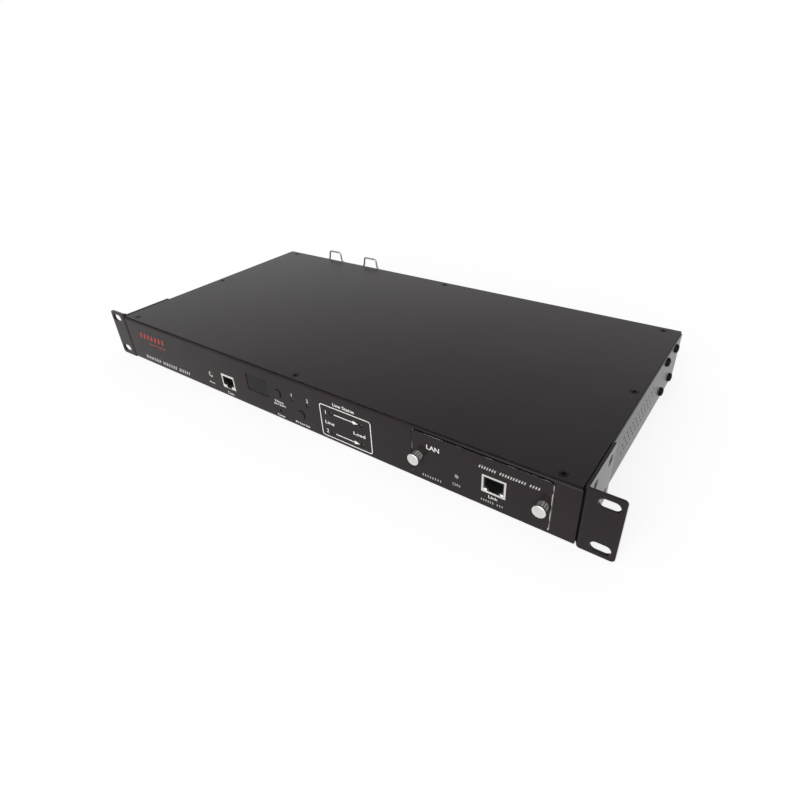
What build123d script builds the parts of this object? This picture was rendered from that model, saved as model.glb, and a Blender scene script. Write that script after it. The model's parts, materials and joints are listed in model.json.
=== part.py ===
from build123d import *
import os

# A one-unit rack transfer switch: a folded steel chassis with its lid and rack ears, front controls,
# a plug-in network card, mains inlets with wire bails, mains outlets, and the boards inside.
# Millimetres. X runs to the right seen from the front, Y runs to the rear and Z runs up.
# The origin is the centre of the chassis's flat underside.

# Chassis and lid
BODY_WIDTH = 437.0
BODY_DEPTH = 220.0
BODY_HEIGHT = 42.8
SHEET = 1.2
BEND_INSIDE = 0.8
LID_SHEET = 1.2
LID_SET_BACK = 0.7
LID_CORNER = 0.8
FLANGE = 12.0
CORNER_SEAM = 0.4
LID_SCREW_INSET = 6.0
LID_SCREW_END = 13.5
LID_SCREW_HEAD = 6.0
LID_SCREW_SHANK = 3.0
LID_SCREW_REACH = 4.8

# Fits: a fixed piece in its seat, a moving piece in its hole, the card in its bay
SEAT_GAP = 0.05
RUNNING_GAP = 0.3
CARD_GAP = 0.5
CARD_GAP_ABOVE = 1.2

# Rack ears: slots to the 19-inch rack standard
EAR_REACH = 22.8
EAR_OVER_LID = 1.2
EAR_LEG_OVER_LID = 0.2
EAR_SHEET = 2.0
EAR_BEND_INSIDE = 1.2
EAR_PAST_SCREWS = 8.6
EAR_CORNER = 2.6
EAR_HEEL_CORNER = 2.4
SLOT_INSET = 8.75
SLOT_RISE = 31.75
SLOT_LENGTH = 12.0
SLOT_HEIGHT = 6.8

# The square of screws that holds an ear, and its twin at the rear of each side
FRAME_SCREW_END = 15.4
FRAME_SCREW_PITCH = 26.0
FRAME_SCREW_SHANK = 4.0
FRAME_SCREW_REACH = 6.0
EAR_SCREW_HEAD = 7.8
EAR_SCREW_LAND = 0.3
SPARE_SCREW_HEAD = 7.2
SPARE_SCREW_RISE = 2.2
DOME_SHARE = 0.6

# Side vents
VENT_DIAMETER = 2.2
VENT_PITCH = 6.3
VENT_COLUMNS = 12
VENT_ROWS = 3
VENT_BEHIND_MIDDLE = 1.7

# Front controls: X from the panel's datum, and height above the underside
WINDOW_WIDTH = 24.0
WINDOW_HEIGHT = 15.0
WINDOW_PLACE = (-40.2, 24.4)
WINDOW_RECESS = 0.4
WINDOW_LIP = 1.5
WINDOW_LIP_SHEET = 1.2
BUTTON_DIAMETER = 7.0
BUTTON_PROUD = 0.8
BUTTON_EDGE = 0.4
BUTTON_FLANGE = 1.2
BUTTON_FLANGE_SHEET = 1.2
BUTTON_TRAVEL = 1.0
SELECT_PLACE = (-17.0, 24.1)
PREFERENCE_PLACE = (6.4, 12.9)
RESET_PLACE = (-17.0, 8.3)
RESET_HOLE = 2.2
RESET_DEPTH = 0.5
LED_DIAMETER = 3.0
LED_RECESS = 0.2
LED_DOME = 1.2
SOURCE_LED_PLACES = [(-1.6, 23.8), (14.4, 23.8)]
FLOW_LED_PLACES = [(37.4, 25.2), (37.4, 8.2), (65.4, 25.2), (65.4, 8.2)]
SERIAL_JACK_WIDTH = 15.6
SERIAL_JACK_HEIGHT = 13.0
SERIAL_JACK_PLACE = (-77.5, 15.2)
SENSOR_DIAMETER = 5.6
SENSOR_WALL = 1.0
SENSOR_FLOOR = 3.5
SENSOR_RECESS = 0.4
SENSOR_PLACE = (-100.9, 15.6)

# The mouth of a modular jack: plug, then the two steps of its latch below
PLUG_WIDTH = 11.8
PLUG_HEIGHT = 6.8
PLUG_ABOVE_MIDDLE = 1.0
LATCH_WIDTH = 8.6
LATCH_HEIGHT = 1.0
LATCH_TIP_WIDTH = 6.2
LATCH_TIP_HEIGHT = 1.8
JACK_BACK = 2.4
CONTACT_COUNT = 8
CONTACT_PITCH = 1.02
CONTACT_WIRE = 0.5
CONTACT_DROP = 2.4
CONTACT_START = 2.0

# Display board behind the front wall
BOARD_SHEET = 1.6
BOARD_CORNER = 2.0
DISPLAY_BOARD_STAND = 9.8
DISPLAY_BOARD_MARGIN = 11.0
DISPLAY_BOARD_CLEARANCE = 2.8
DISPLAY_MODULE_INSET = 0.8
DISPLAY_MODULE_GAP = 1.0
SWITCH_SIZE = 6.0
SWITCH_HEIGHT = 3.5
SWITCH_BORE_DEPTH = 2.6
STEM_DIAMETER = 3.2
STANDOFF_ACROSS = 6.0
STANDOFF_INSET = 4.0

# Network card and its bay
CARD_WIDTH = 95.3
CARD_HEADROOM = 2.6
CARD_FROM_SIDE = 15.45
CARD_FROM_PANEL_DATUM = 107.75
CARD_CORNER = 3.0
CARD_BOARD_LENGTH = 90.0
CARD_LED_X = -14.1
CARD_LED_RISE = 2.4
CARD_LED_LENGTH = 6.0
CARD_JACK_X = 11.6
CARD_JACK_WIDTH = 16.2
CARD_JACK_HEIGHT = 13.2
CARD_JACK_LENGTH = 21.0
CARD_JACK_WELL = 13.8
CARD_TONGUE_WIDTH = 50.0
CARD_TONGUE_LENGTH = 12.0
CARD_BRACKET_FOOT = 8.0
CARD_BRACKET_RISE = 7.0
CARD_BRACKET_WIDTH = 7.0
CARD_CHIP_SIZES = [(-18.0, 45.0, 20.0, 20.0, 1.6), (8.0, 58.0, 12.0, 18.0, 1.2), (14.0, 34.0, 14.0, 9.0, 5.0)]
THUMBSCREW_INSET = 4.9
THUMBSCREW_FACE = 8.5
THUMBSCREW_FACE_SHEET = 1.3
THUMBSCREW_FACE_EDGE = 0.4
THUMBSCREW_GRIP = 6.8
THUMBSCREW_PROUD = 6.6
THUMBSCREW_COLLAR = 5.6
THUMBSCREW_COLLAR_LENGTH = 0.7
THUMBSCREW_THREAD = 3.0
THUMBSCREW_REACH = 9.0
KNURL_COUNT = 20
KNURL_DEPTH = 0.45
GUIDE_SCREW_ROOM = 2.25
GUIDE_WALL_LAP = 3.25
GUIDE_LEDGE = 4.0
GUIDE_PAST_BOARD = 3.0
SOCKET_FLOOR = 2.2
SOCKET_WALL = 2.4
SOCKET_GRIP = 7.6
SOCKET_LIP = 3.6

# Main board and what stands on it
MAIN_BOARD_STAND = 6.0
MAIN_BOARD_SIDE_GAP = 12.3
MAIN_BOARD_REAR_GAP = 4.0
BOARD_SCREW_HEAD = 5.6
BOARD_SCREW_SHANK = 3.0
BOARD_SCREW_RISE = 2.0
BOARD_SCREW_INSET = 7.0
BOARD_SCREW_REACH = 5.0
RELAY_WIDTH = 32.0
RELAY_DEPTH = 27.0
RELAY_HEADROOM = 7.8
RELAY_EDGE = 1.2
RELAY_COUNT = 4
TRANSFORMER_LEG = 5.4
TRANSFORMER_STACK = 19.0
TRANSFORMER_WINDING_CORNER = 4.8
TRANSFORMER_HEADROOM = 5.8
TRANSFORMER_COUNT = 2
CAPACITOR_DIAMETER = 12.5
CAPACITOR_HEADROOM = 7.8
CAPACITOR_GROOVE = 0.6
CAPACITOR_GROOVE_AT = 2.5
CAPACITOR_COUNT = 4
CAPACITOR_BEHIND_MIDDLE = 22.0

# Mains connectors: the shaped core, its fit in an inlet's well, and the moat round it in an outlet
MAINS_CORE_WIDTH = 23.6
MAINS_CORE_HEIGHT = 15.8
MAINS_CHAMFER = 4.5
MAINS_FIT = 0.5
MAINS_MOAT = 2.5
BLADE_WIDTH = 2.0
BLADE_HEIGHT = 4.0
BLADE_SPREAD = 7.0
BLADE_OFFSET = 2.0
BLADE_SLOT_FIT = 0.3
BLADE_TIP_RECESS = 2.0
BLADE_TAIL = 7.0
BEZEL_CORNER = 2.0

# Mains inlets and their wire bails
INLET_FROM_SIDE = 64.0
INLET_PITCH = 51.0
INLET_COUNT = 2
INLET_WALL = 2.7
INLET_LAP_X = 5.0
INLET_LAP_Z = 3.0
INLET_PROUD = 3.0
INLET_BODY_DEPTH = 20.0
INLET_WELL_DEPTH = 16.0
LUG_SHEET = 1.6
LUG_HEIGHT = 7.0
LUG_PIVOT = 3.4
PIVOT_GAP = 0.1
WIRE_DIAMETER = 1.8
BAIL_LENGTH = 28.0
BAIL_SHOULDER = 8.0
BAIL_TIP_RUN = 8.5
BAIL_NECK_HALF = 8.9
BAIL_TIP_HALF = 7.8
BAIL_SHOULDER_BEND = 4.0
BAIL_NECK_BEND = 5.0
BAIL_TIP_BEND = 2.5
BAIL_PIN_BEND = 0.2
BAIL_PIN_PAST_LUG = 0.5

# Mains outlets, their tabs, bus bars and leads
OUTLET_FROM_INLET = 43.5
OUTLET_SIDE_ROOM = 15.0
OUTLET_SPACING = 0.6
OUTLET_WALL = 1.3
OUTLET_LAP = 0.6
OUTLET_PROUD = 1.5
OUTLET_DEPTH = 24.0
OUTLET_WELL_DEPTH = 17.0
OUTLET_SLOT_DEPTH = 12.0
TAB_SHEET = 0.8
TAB_HEIGHT = 5.0
TAB_LENGTH = 6.0
BUS_SHEET = 1.0
BUS_HEIGHT = 4.0
BUS_SPACING = 6.0
LEAD_DIAMETER = 3.0
LEAD_BEND_SHARE = 0.75
LEAD_INSET = 7.0
LEAD_PITCH = 7.0

# Places that follow from the sizes above
FRONT = -BODY_DEPTH / 2
REAR = BODY_DEPTH / 2
SIDE = BODY_WIDTH / 2
BEND = SHEET + BEND_INSIDE
TRAY_HEIGHT = BODY_HEIGHT - LID_SHEET
INNER_FRONT = FRONT + SHEET
INNER_REAR = REAR - SHEET
MID_HEIGHT = BODY_HEIGHT / 2
EAR_HEIGHT = BODY_HEIGHT + EAR_OVER_LID
EAR_LEG_HEIGHT = BODY_HEIGHT + EAR_LEG_OVER_LID
EAR_TIP = SIDE + EAR_REACH
EAR_LEG_END = FRONT + FRAME_SCREW_END + FRAME_SCREW_PITCH + EAR_PAST_SCREWS
DISPLAY_BOARD_Y = INNER_FRONT + DISPLAY_BOARD_STAND
SWITCH_FRONT = DISPLAY_BOARD_Y - SWITCH_HEIGHT
MAIN_BOARD_Z = SHEET + MAIN_BOARD_STAND
MAIN_BOARD_TOP = MAIN_BOARD_Z + BOARD_SHEET
CARD_X = SIDE - CARD_FROM_SIDE - CARD_WIDTH / 2
PANEL_X = CARD_X - CARD_WIDTH / 2 - CARD_FROM_PANEL_DATUM
PANEL_PLACES = [WINDOW_PLACE, SELECT_PLACE, PREFERENCE_PLACE, RESET_PLACE, SERIAL_JACK_PLACE, SENSOR_PLACE]
PANEL_SPOTS = [(PANEL_X + x, z) for x, z in PANEL_PLACES]
WINDOW_AT, SELECT_AT, PREFERENCE_AT, RESET_AT, SERIAL_JACK_AT, SENSOR_AT = PANEL_SPOTS
LED_PLACES = [(PANEL_X + x, z) for x, z in SOURCE_LED_PLACES + FLOW_LED_PLACES]
CARD_BOTTOM = SHEET + CARD_GAP
CARD_TOP = TRAY_HEIGHT - CARD_HEADROOM
CARD_HEIGHT = CARD_TOP - CARD_BOTTOM
CARD_MID = (CARD_TOP + CARD_BOTTOM) / 2
CARD_BOARD_Z = MAIN_BOARD_TOP + SOCKET_FLOOR
CARD_BOARD_TOP = CARD_BOARD_Z + BOARD_SHEET
CARD_BOARD_END = INNER_FRONT + CARD_BOARD_LENGTH
CARD_TONGUE_END = CARD_BOARD_END + CARD_TONGUE_LENGTH
CARD_JACK_AT = (CARD_X + CARD_JACK_X, CARD_BOARD_TOP + CARD_JACK_HEIGHT / 2)
CARD_LED_AT = (CARD_X + CARD_LED_X, CARD_BOARD_TOP + CARD_LED_RISE)
THUMBSCREW_X = CARD_WIDTH / 2 - THUMBSCREW_INSET
GUIDE_OUTER = THUMBSCREW_X - THUMBSCREW_THREAD / 2 - GUIDE_SCREW_ROOM
GUIDE_INNER = GUIDE_OUTER - SHEET
CARD_BOARD_WIDTH = 2 * (GUIDE_INNER - RUNNING_GAP)
MAIN_BOARD_FRONT = CARD_TONGUE_END - SOCKET_GRIP
BUS_Y = REAR - OUTLET_DEPTH - TAB_LENGTH
MAIN_BOARD_REAR = BUS_Y - BUS_SHEET - MAIN_BOARD_REAR_GAP
MAIN_BOARD_DEPTH = MAIN_BOARD_REAR - MAIN_BOARD_FRONT
MAIN_BOARD_MID = (MAIN_BOARD_FRONT + MAIN_BOARD_REAR) / 2
MAIN_BOARD_WIDTH = BODY_WIDTH - 2 * (SHEET + MAIN_BOARD_SIDE_GAP)
BOARD_ROOM = TRAY_HEIGHT - MAIN_BOARD_TOP
RELAY_HEIGHT = BOARD_ROOM - RELAY_HEADROOM
TRANSFORMER_HEIGHT = BOARD_ROOM - TRANSFORMER_HEADROOM
CAPACITOR_HEIGHT = BOARD_ROOM - CAPACITOR_HEADROOM
TRANSFORMER_WINDOW = TRANSFORMER_LEG
TRANSFORMER_MIDDLE_LEG = 2 * TRANSFORMER_LEG
TRANSFORMER_WIDTH = TRANSFORMER_MIDDLE_LEG + 2 * TRANSFORMER_WINDOW + 2 * TRANSFORMER_LEG
ROW_WIDTHS = ([RELAY_WIDTH] * RELAY_COUNT + [TRANSFORMER_WIDTH] * TRANSFORMER_COUNT
              + [CAPACITOR_DIAMETER] * CAPACITOR_COUNT)
ROW_GAP = (MAIN_BOARD_WIDTH - sum(ROW_WIDTHS)) / (len(ROW_WIDTHS) + 1)
ROW_LEFTS = [ROW_GAP * (i + 1) + sum(ROW_WIDTHS[:i]) - MAIN_BOARD_WIDTH / 2 for i in range(len(ROW_WIDTHS))]
ROW_PLACES = [left + width / 2 for left, width in zip(ROW_LEFTS, ROW_WIDTHS)]
RELAY_PLACES = ROW_PLACES[:RELAY_COUNT]
TRANSFORMER_PLACES = ROW_PLACES[RELAY_COUNT:RELAY_COUNT + TRANSFORMER_COUNT]
CAPACITOR_PLACES = ROW_PLACES[RELAY_COUNT + TRANSFORMER_COUNT:]
LEAD_BEND = LEAD_BEND_SHARE * (MID_HEIGHT - BUS_SPACING - MAIN_BOARD_TOP)
INLET_PLACES = [-SIDE + INLET_FROM_SIDE + INLET_PITCH * i for i in range(INLET_COUNT)]
INLET_WELL = (MAINS_CORE_WIDTH + 2 * MAINS_FIT, MAINS_CORE_HEIGHT + 2 * MAINS_FIT)
INLET_BODY = (INLET_WELL[0] + 2 * INLET_WALL, INLET_WELL[1] + 2 * INLET_WALL)
INLET_BEZEL = (INLET_BODY[0] + 2 * INLET_LAP_X, INLET_BODY[1] + 2 * INLET_LAP_Z)
INLET_FACE = REAR + INLET_PROUD
INLET_TAIL = REAR - INLET_BODY_DEPTH - BLADE_TAIL
PIVOT_Y = INLET_FACE + LUG_PIVOT
LUG_OUTER = INLET_BEZEL[0] / 2
BAIL_HALF = LUG_OUTER + RUNNING_GAP + WIRE_DIAMETER / 2
OUTLET_WELL = (MAINS_CORE_WIDTH + 2 * MAINS_MOAT, MAINS_CORE_HEIGHT + 2 * MAINS_MOAT)
OUTLET_BODY = (OUTLET_WELL[0] + 2 * OUTLET_WALL, OUTLET_WELL[1] + 2 * OUTLET_WALL)
OUTLET_BEZEL = (OUTLET_BODY[0] + 2 * OUTLET_LAP, OUTLET_BODY[1] + 2 * OUTLET_LAP)
OUTLET_PITCH = OUTLET_BEZEL[0] + OUTLET_SPACING
OUTLET_FIRST_X = INLET_PLACES[-1] + OUTLET_FROM_INLET
OUTLET_ROOM = SIDE - OUTLET_SIDE_ROOM - OUTLET_FIRST_X + OUTLET_BEZEL[0] / 2
OUTLET_PLACES = [OUTLET_FIRST_X + OUTLET_PITCH * i for i in range(int(OUTLET_ROOM // OUTLET_PITCH))]
POLES = [(-BLADE_SPREAD, -BLADE_OFFSET), (BLADE_SPREAD, -BLADE_OFFSET), (0.0, BLADE_OFFSET)]


def block(x0, x1, y0, y1, z0, z1):
    """A box between two corners."""
    middle = Pos((x0 + x1) / 2, (y0 + y1) / 2, (z0 + z1) / 2)
    return middle * Box(x1 - x0, y1 - y0, z1 - z0)


def upright(outline, y0, y1):
    """An outline drawn in X and Z, pulled through from y0 back to y1."""
    plane = Plane(origin=(0, y1, 0), x_dir=(1, 0, 0), z_dir=(0, -1, 0))
    return extrude(plane * outline, amount=y1 - y0)


def sideways(outline, x0, x1):
    """An outline drawn in Y and Z, pulled through from x0 to x1."""
    plane = Plane(origin=(x0, 0, 0), x_dir=(0, 1, 0), z_dir=(1, 0, 0))
    return extrude(plane * outline, amount=x1 - x0)


def flat(outline, z0, z1):
    """An outline drawn in X and Y, pulled up from z0 to z1."""
    return extrude(Pos(0, 0, z0) * outline, amount=z1 - z0)


def turned(points):
    """A solid of revolution about Z from a half outline of (radius, height) points."""
    return revolve(Plane.XZ * make_face(Polyline(*points, close=True)), axis=Axis.Z)


def facing_front(shape, x, y, z):
    """A turned piece with its top towards the front."""
    return Pos(x, y, z) * Rot(90, 0, 0) * shape


def facing_side(shape, side, x, y, z):
    """A turned piece with its top towards the left (-1) or right (1)."""
    return Pos(side * x, y, z) * Rot(0, 90 * side, 0) * shape


def grown(size, gap):
    """A rectangle's width and height with a gap all round."""
    return [s + 2 * gap for s in size]


def group(pieces):
    """Separate solids kept in one node."""
    return Compound(children=list(pieces))


def countersunk(head, shank, depth, reach, gap=0.0):
    """A countersunk screw, or its seat with a gap: the head's flat top lies at height 0, facing up."""
    outer, inner, end = head / 2 + gap, shank / 2 + gap, -depth - reach
    return turned([(0, 0), (outer, 0), (inner, -depth), (inner, end), (0, end)])


def pan_head(head, shank, rise, reach):
    """A domed screw whose head stands on height 0 and faces up."""
    dome = Pos(0, 0, rise / 2) * Cylinder(head / 2, rise)
    dome = fillet(dome.edges().sort_by(Axis.Z)[-1], rise * DOME_SHARE)
    return dome + Pos(0, 0, -reach / 2) * Cylinder(shank / 2, reach)


def lid_screw(gap=0.0):
    return countersunk(LID_SCREW_HEAD, LID_SCREW_SHANK, LID_SHEET, LID_SCREW_REACH, gap)


def ear_screw(gap=0.0):
    depth = EAR_SHEET - EAR_SCREW_LAND
    return countersunk(EAR_SCREW_HEAD, FRAME_SCREW_SHANK, depth, EAR_SCREW_LAND + FRAME_SCREW_REACH, gap)


def mains_outline(size):
    """The mains connector's outline: a rectangle with its two upper corners cut off."""
    face = Rectangle(*size)
    return chamfer(face.vertices().sort_by(Axis.Y)[-2:], MAINS_CHAMFER)


def lid_screw_places():
    """(X, Y) of the lid's screws: three along the front, three along the rear and one at each side."""
    end_x = SIDE - LID_SCREW_END
    rows = [(x, s * (REAR - LID_SCREW_INSET)) for s in (-1, 1) for x in (-end_x, 0.0, end_x)]
    return rows + [(s * (SIDE - LID_SCREW_INSET), 0.0) for s in (-1, 1)]


def frame_screw_places(end):
    """(Y, Z) of the four screws in a side wall, at its front end (-1) or its rear end (1)."""
    outer = end * (REAR - FRAME_SCREW_END)
    half = FRAME_SCREW_PITCH / 2
    return [(y, MID_HEIGHT + dz) for y in (outer, outer - end * FRAME_SCREW_PITCH) for dz in (-half, half)]


def front_openings():
    """Every hole in the front wall, as one outline."""
    openings = Pos(*WINDOW_AT) * Rectangle(*grown((WINDOW_WIDTH, WINDOW_HEIGHT), SEAT_GAP))
    jack = (SERIAL_JACK_WIDTH, SERIAL_JACK_HEIGHT)
    openings += Pos(*SERIAL_JACK_AT) * Rectangle(*grown(jack, SEAT_GAP))
    openings += Pos(*SENSOR_AT) * Circle(SENSOR_DIAMETER / 2 + SEAT_GAP)
    for place in LED_PLACES:
        openings += Pos(*place) * Circle(LED_DIAMETER / 2 + SEAT_GAP)
    for place in (SELECT_AT, PREFERENCE_AT):
        openings += Pos(*place) * Circle(BUTTON_DIAMETER / 2 + RUNNING_GAP)
    openings += Pos(*RESET_AT) * Circle(RESET_HOLE / 2)
    bay_bottom, bay_top = CARD_BOTTOM - CARD_GAP, CARD_TOP + CARD_GAP_ABOVE
    bay = RectangleRounded(CARD_WIDTH + 2 * CARD_GAP, bay_top - bay_bottom, CARD_CORNER + CARD_GAP)
    return openings + Pos(CARD_X, (bay_top + bay_bottom) / 2) * bay


def rear_openings():
    """Every hole in the rear wall, as one outline."""
    openings = Sketch()
    for x in INLET_PLACES:
        openings += Pos(x, MID_HEIGHT) * Rectangle(*grown(INLET_BODY, SEAT_GAP))
    for x in OUTLET_PLACES:
        openings += Pos(x, MID_HEIGHT) * Rectangle(*grown(OUTLET_BODY, SEAT_GAP))
    return openings


def side_openings():
    """The vents and screw holes of a side wall, as one outline."""
    middle = Pos(VENT_BEHIND_MIDDLE, MID_HEIGHT)
    grid = GridLocations(VENT_PITCH, VENT_PITCH, VENT_COLUMNS, VENT_ROWS)
    openings = Sketch() + [middle * place * Circle(VENT_DIAMETER / 2) for place in grid]
    for place in frame_screw_places(-1) + frame_screw_places(1):
        openings += Pos(*place) * Circle(FRAME_SCREW_SHANK / 2 + SEAT_GAP)
    return openings


def chassis_tray():
    """One folded sheet: floor, four walls and their inward flanges, with seams at the corners."""
    size = (BODY_WIDTH, BODY_DEPTH, TRAY_HEIGHT)
    middle = Pos(0, 0, TRAY_HEIGHT / 2)
    outer = middle * Box(*size)
    outer = fillet(outer.edges().filter_by(Axis.Z, reverse=True), BEND)
    inner = middle * Box(*grown(size, -SHEET))
    inner = fillet(inner.edges().filter_by(Axis.Z, reverse=True), BEND_INSIDE)
    tray = outer - inner
    mouth = Rectangle(*grown((BODY_WIDTH, BODY_DEPTH), -FLANGE))
    tray -= flat(mouth, TRAY_HEIGHT - 2 * SHEET, TRAY_HEIGHT + SHEET)
    tray -= upright(front_openings(), FRONT - SHEET, INNER_FRONT + SHEET)
    tray -= upright(rear_openings(), INNER_REAR - SHEET, REAR + SHEET)
    tray -= sideways(side_openings(), -SIDE - SHEET, SIDE + SHEET)
    for x, y in lid_screw_places():
        tray -= Pos(x, y, TRAY_HEIGHT) * Cylinder(LID_SCREW_SHANK / 2 + SEAT_GAP, 4 * SHEET)
    for y in (INNER_FRONT, INNER_REAR - CORNER_SEAM):
        tray -= block(-SIDE - SHEET, -SIDE + SHEET, y, y + CORNER_SEAM, BEND, TRAY_HEIGHT - BEND)
        tray -= block(SIDE - SHEET, SIDE + SHEET, y, y + CORNER_SEAM, BEND, TRAY_HEIGHT - BEND)
    return tray


def top_cover():
    """The flat lid with its countersunk screw holes."""
    outline = RectangleRounded(*grown((BODY_WIDTH, BODY_DEPTH), -LID_SET_BACK), LID_CORNER)
    lid = flat(outline, TRAY_HEIGHT, BODY_HEIGHT)
    for x, y in lid_screw_places():
        lid -= Pos(x, y, BODY_HEIGHT) * lid_screw(SEAT_GAP)
    return lid


def lid_screws():
    return group(Pos(x, y, BODY_HEIGHT) * lid_screw() for x, y in lid_screw_places())


def right_ear():
    """A folded angle: the leg lies on the chassis's side and the flange carries the rack slots."""
    fold = Polyline((EAR_TIP, FRONT), (SIDE, FRONT), (SIDE, EAR_LEG_END))
    inside = (SIDE + EAR_SHEET, FRONT + EAR_SHEET)
    leg_back = Polyline((SIDE, EAR_LEG_END), (inside[0], EAR_LEG_END), inside)
    flange_back = Polyline(inside, (EAR_TIP, inside[1]), (EAR_TIP, FRONT))
    section = make_face(fold + leg_back + flange_back)
    heel = section.vertices().sort_by_distance((SIDE, FRONT, 0))[0]
    section = fillet(heel, EAR_SHEET + EAR_BEND_INSIDE)
    throat = section.vertices().sort_by_distance((*inside, 0))[0]
    section = fillet(throat, EAR_BEND_INSIDE)
    ear = flat(section, 0, EAR_HEIGHT)
    reach = EAR_SHEET + EAR_BEND_INSIDE
    ear -= block(SIDE - SHEET, EAR_TIP, FRONT + reach, EAR_LEG_END + SHEET, EAR_LEG_HEIGHT, EAR_HEIGHT)
    tips = ear.edges().filter_by(Axis.Y).sort_by(Axis.X)[-2:]
    ear = fillet(tips, EAR_CORNER)
    leg_ends = ear.edges().filter_by(Axis.X).sort_by(Axis.Y)[-2:]
    ear = fillet(leg_ends, EAR_CORNER)
    heel_x = SIDE + EAR_HEEL_CORNER
    for z, s in ((0, 1), (EAR_HEIGHT, -1)):
        middle = z + s * EAR_HEEL_CORNER
        relief = block(SIDE - SHEET, heel_x, FRONT - SHEET, FRONT + reach, min(z, middle), max(z, middle))
        ear -= relief - upright(Pos(heel_x, middle) * Circle(EAR_HEEL_CORNER), FRONT - SHEET, FRONT + reach)
    for rise in (-SLOT_RISE / 2, SLOT_RISE / 2):
        slot = Pos(EAR_TIP - SLOT_INSET, EAR_HEIGHT / 2 + rise) * SlotOverall(SLOT_LENGTH, SLOT_HEIGHT)
        ear -= upright(slot, FRONT - EAR_SHEET, FRONT + 2 * EAR_SHEET)
    for y, z in frame_screw_places(-1):
        ear -= facing_side(ear_screw(SEAT_GAP), 1, SIDE + EAR_SHEET, y, z)
    return ear


def ear_screws():
    return group(facing_side(ear_screw(), s, SIDE + EAR_SHEET, y, z)
                 for s in (-1, 1) for y, z in frame_screw_places(-1))


def side_screws():
    """The spare ear screws, kept in the rear pattern of each side."""
    screw = pan_head(SPARE_SCREW_HEAD, FRAME_SCREW_SHANK, SPARE_SCREW_RISE, FRAME_SCREW_REACH)
    return group(facing_side(screw, s, SIDE, y, z) for s in (-1, 1) for y, z in frame_screw_places(1))


def display_window():
    """The smoked pane, held by a lip behind the wall."""
    size = (WINDOW_WIDTH, WINDOW_HEIGHT)
    pane = upright(Pos(*WINDOW_AT) * Rectangle(*size), FRONT + WINDOW_RECESS, INNER_FRONT)
    lip = Pos(*WINDOW_AT) * Rectangle(*grown(size, WINDOW_LIP))
    return pane + upright(lip, INNER_FRONT, INNER_FRONT + WINDOW_LIP_SHEET)


def display_module():
    """The digit block behind the pane, standing on the display board."""
    outline = Pos(*WINDOW_AT) * Rectangle(*grown((WINDOW_WIDTH, WINDOW_HEIGHT), -DISPLAY_MODULE_INSET))
    return upright(outline, INNER_FRONT + WINDOW_LIP_SHEET + DISPLAY_MODULE_GAP, DISPLAY_BOARD_Y)


def display_board_box():
    """The display board's left, right, bottom and top."""
    left = SENSOR_AT[0] - DISPLAY_BOARD_MARGIN
    right = max(x for x, z in LED_PLACES) + DISPLAY_BOARD_MARGIN
    bottom = SHEET + DISPLAY_BOARD_CLEARANCE
    return left, right, bottom, TRAY_HEIGHT - bottom


def display_board():
    left, right, bottom, top = display_board_box()
    outline = RectangleRounded(right - left, top - bottom, BOARD_CORNER)
    centre = Pos((left + right) / 2, (bottom + top) / 2)
    return upright(centre * outline, DISPLAY_BOARD_Y, DISPLAY_BOARD_Y + BOARD_SHEET)


def display_standoffs():
    """Pillars that carry the display board from the front wall."""
    left, right, bottom, top = display_board_box()
    places = [(x, z) for x in (left + STANDOFF_INSET, right - STANDOFF_INSET)
              for z in (bottom + STANDOFF_INSET, top - STANDOFF_INSET)]
    pillar = RegularPolygon(STANDOFF_ACROSS / 2, 6, major_radius=False)
    return group(upright(Pos(*place) * pillar, INNER_FRONT, DISPLAY_BOARD_Y) for place in places)


def button_tail():
    """Where a stem ends in its switch, with room left for the travel."""
    return SWITCH_FRONT + SWITCH_BORE_DEPTH - BUTTON_TRAVEL - RUNNING_GAP


def push_button(place):
    """A turned button: cap, retaining flange behind the wall and stem into its switch."""
    x, z = place
    front, flange_front = FRONT - BUTTON_PROUD, INNER_FRONT + RUNNING_GAP
    flange_back, tail = flange_front + BUTTON_FLANGE_SHEET, button_tail()
    cap, flange, stem = BUTTON_DIAMETER / 2, BUTTON_DIAMETER / 2 + BUTTON_FLANGE, STEM_DIAMETER / 2
    button = turned([(0, -front), (cap, -front), (cap, -flange_front), (flange, -flange_front),
                     (flange, -flange_back), (stem, -flange_back), (stem, -tail), (0, -tail)])
    rim = button.edges().filter_by(GeomType.CIRCLE).sort_by(Axis.Z)[-1]
    return facing_front(fillet(rim, BUTTON_EDGE), x, 0, z)


def reset_plunger():
    """The switch's own plunger, reached with a pin through the wall."""
    x, z = RESET_AT
    front, tail = INNER_FRONT + RESET_DEPTH, button_tail()
    plunger = turned([(0, -front), (STEM_DIAMETER / 2, -front), (STEM_DIAMETER / 2, -tail), (0, -tail)])
    return facing_front(plunger, x, 0, z)


def tact_switches():
    """The three switches on the display board, each bored for its stem."""
    pieces = []
    for place in (SELECT_AT, PREFERENCE_AT, RESET_AT):
        body = upright(Pos(*place) * Rectangle(SWITCH_SIZE, SWITCH_SIZE), SWITCH_FRONT, DISPLAY_BOARD_Y)
        bore = Pos(*place) * Circle(STEM_DIAMETER / 2 + RUNNING_GAP)
        pieces.append(body - upright(bore, SWITCH_FRONT, SWITCH_FRONT + SWITCH_BORE_DEPTH))
    return group(pieces)


def status_leds():
    """Round lamps with domed tips, standing on the display board behind their holes."""
    length = DISPLAY_BOARD_Y - FRONT - LED_RECESS
    lamp = Pos(0, 0, length / 2) * Cylinder(LED_DIAMETER / 2, length)
    lamp = fillet(lamp.edges().sort_by(Axis.Z)[-1], LED_DOME)
    return group(facing_front(lamp, x, DISPLAY_BOARD_Y, z) for x, z in LED_PLACES)


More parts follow.
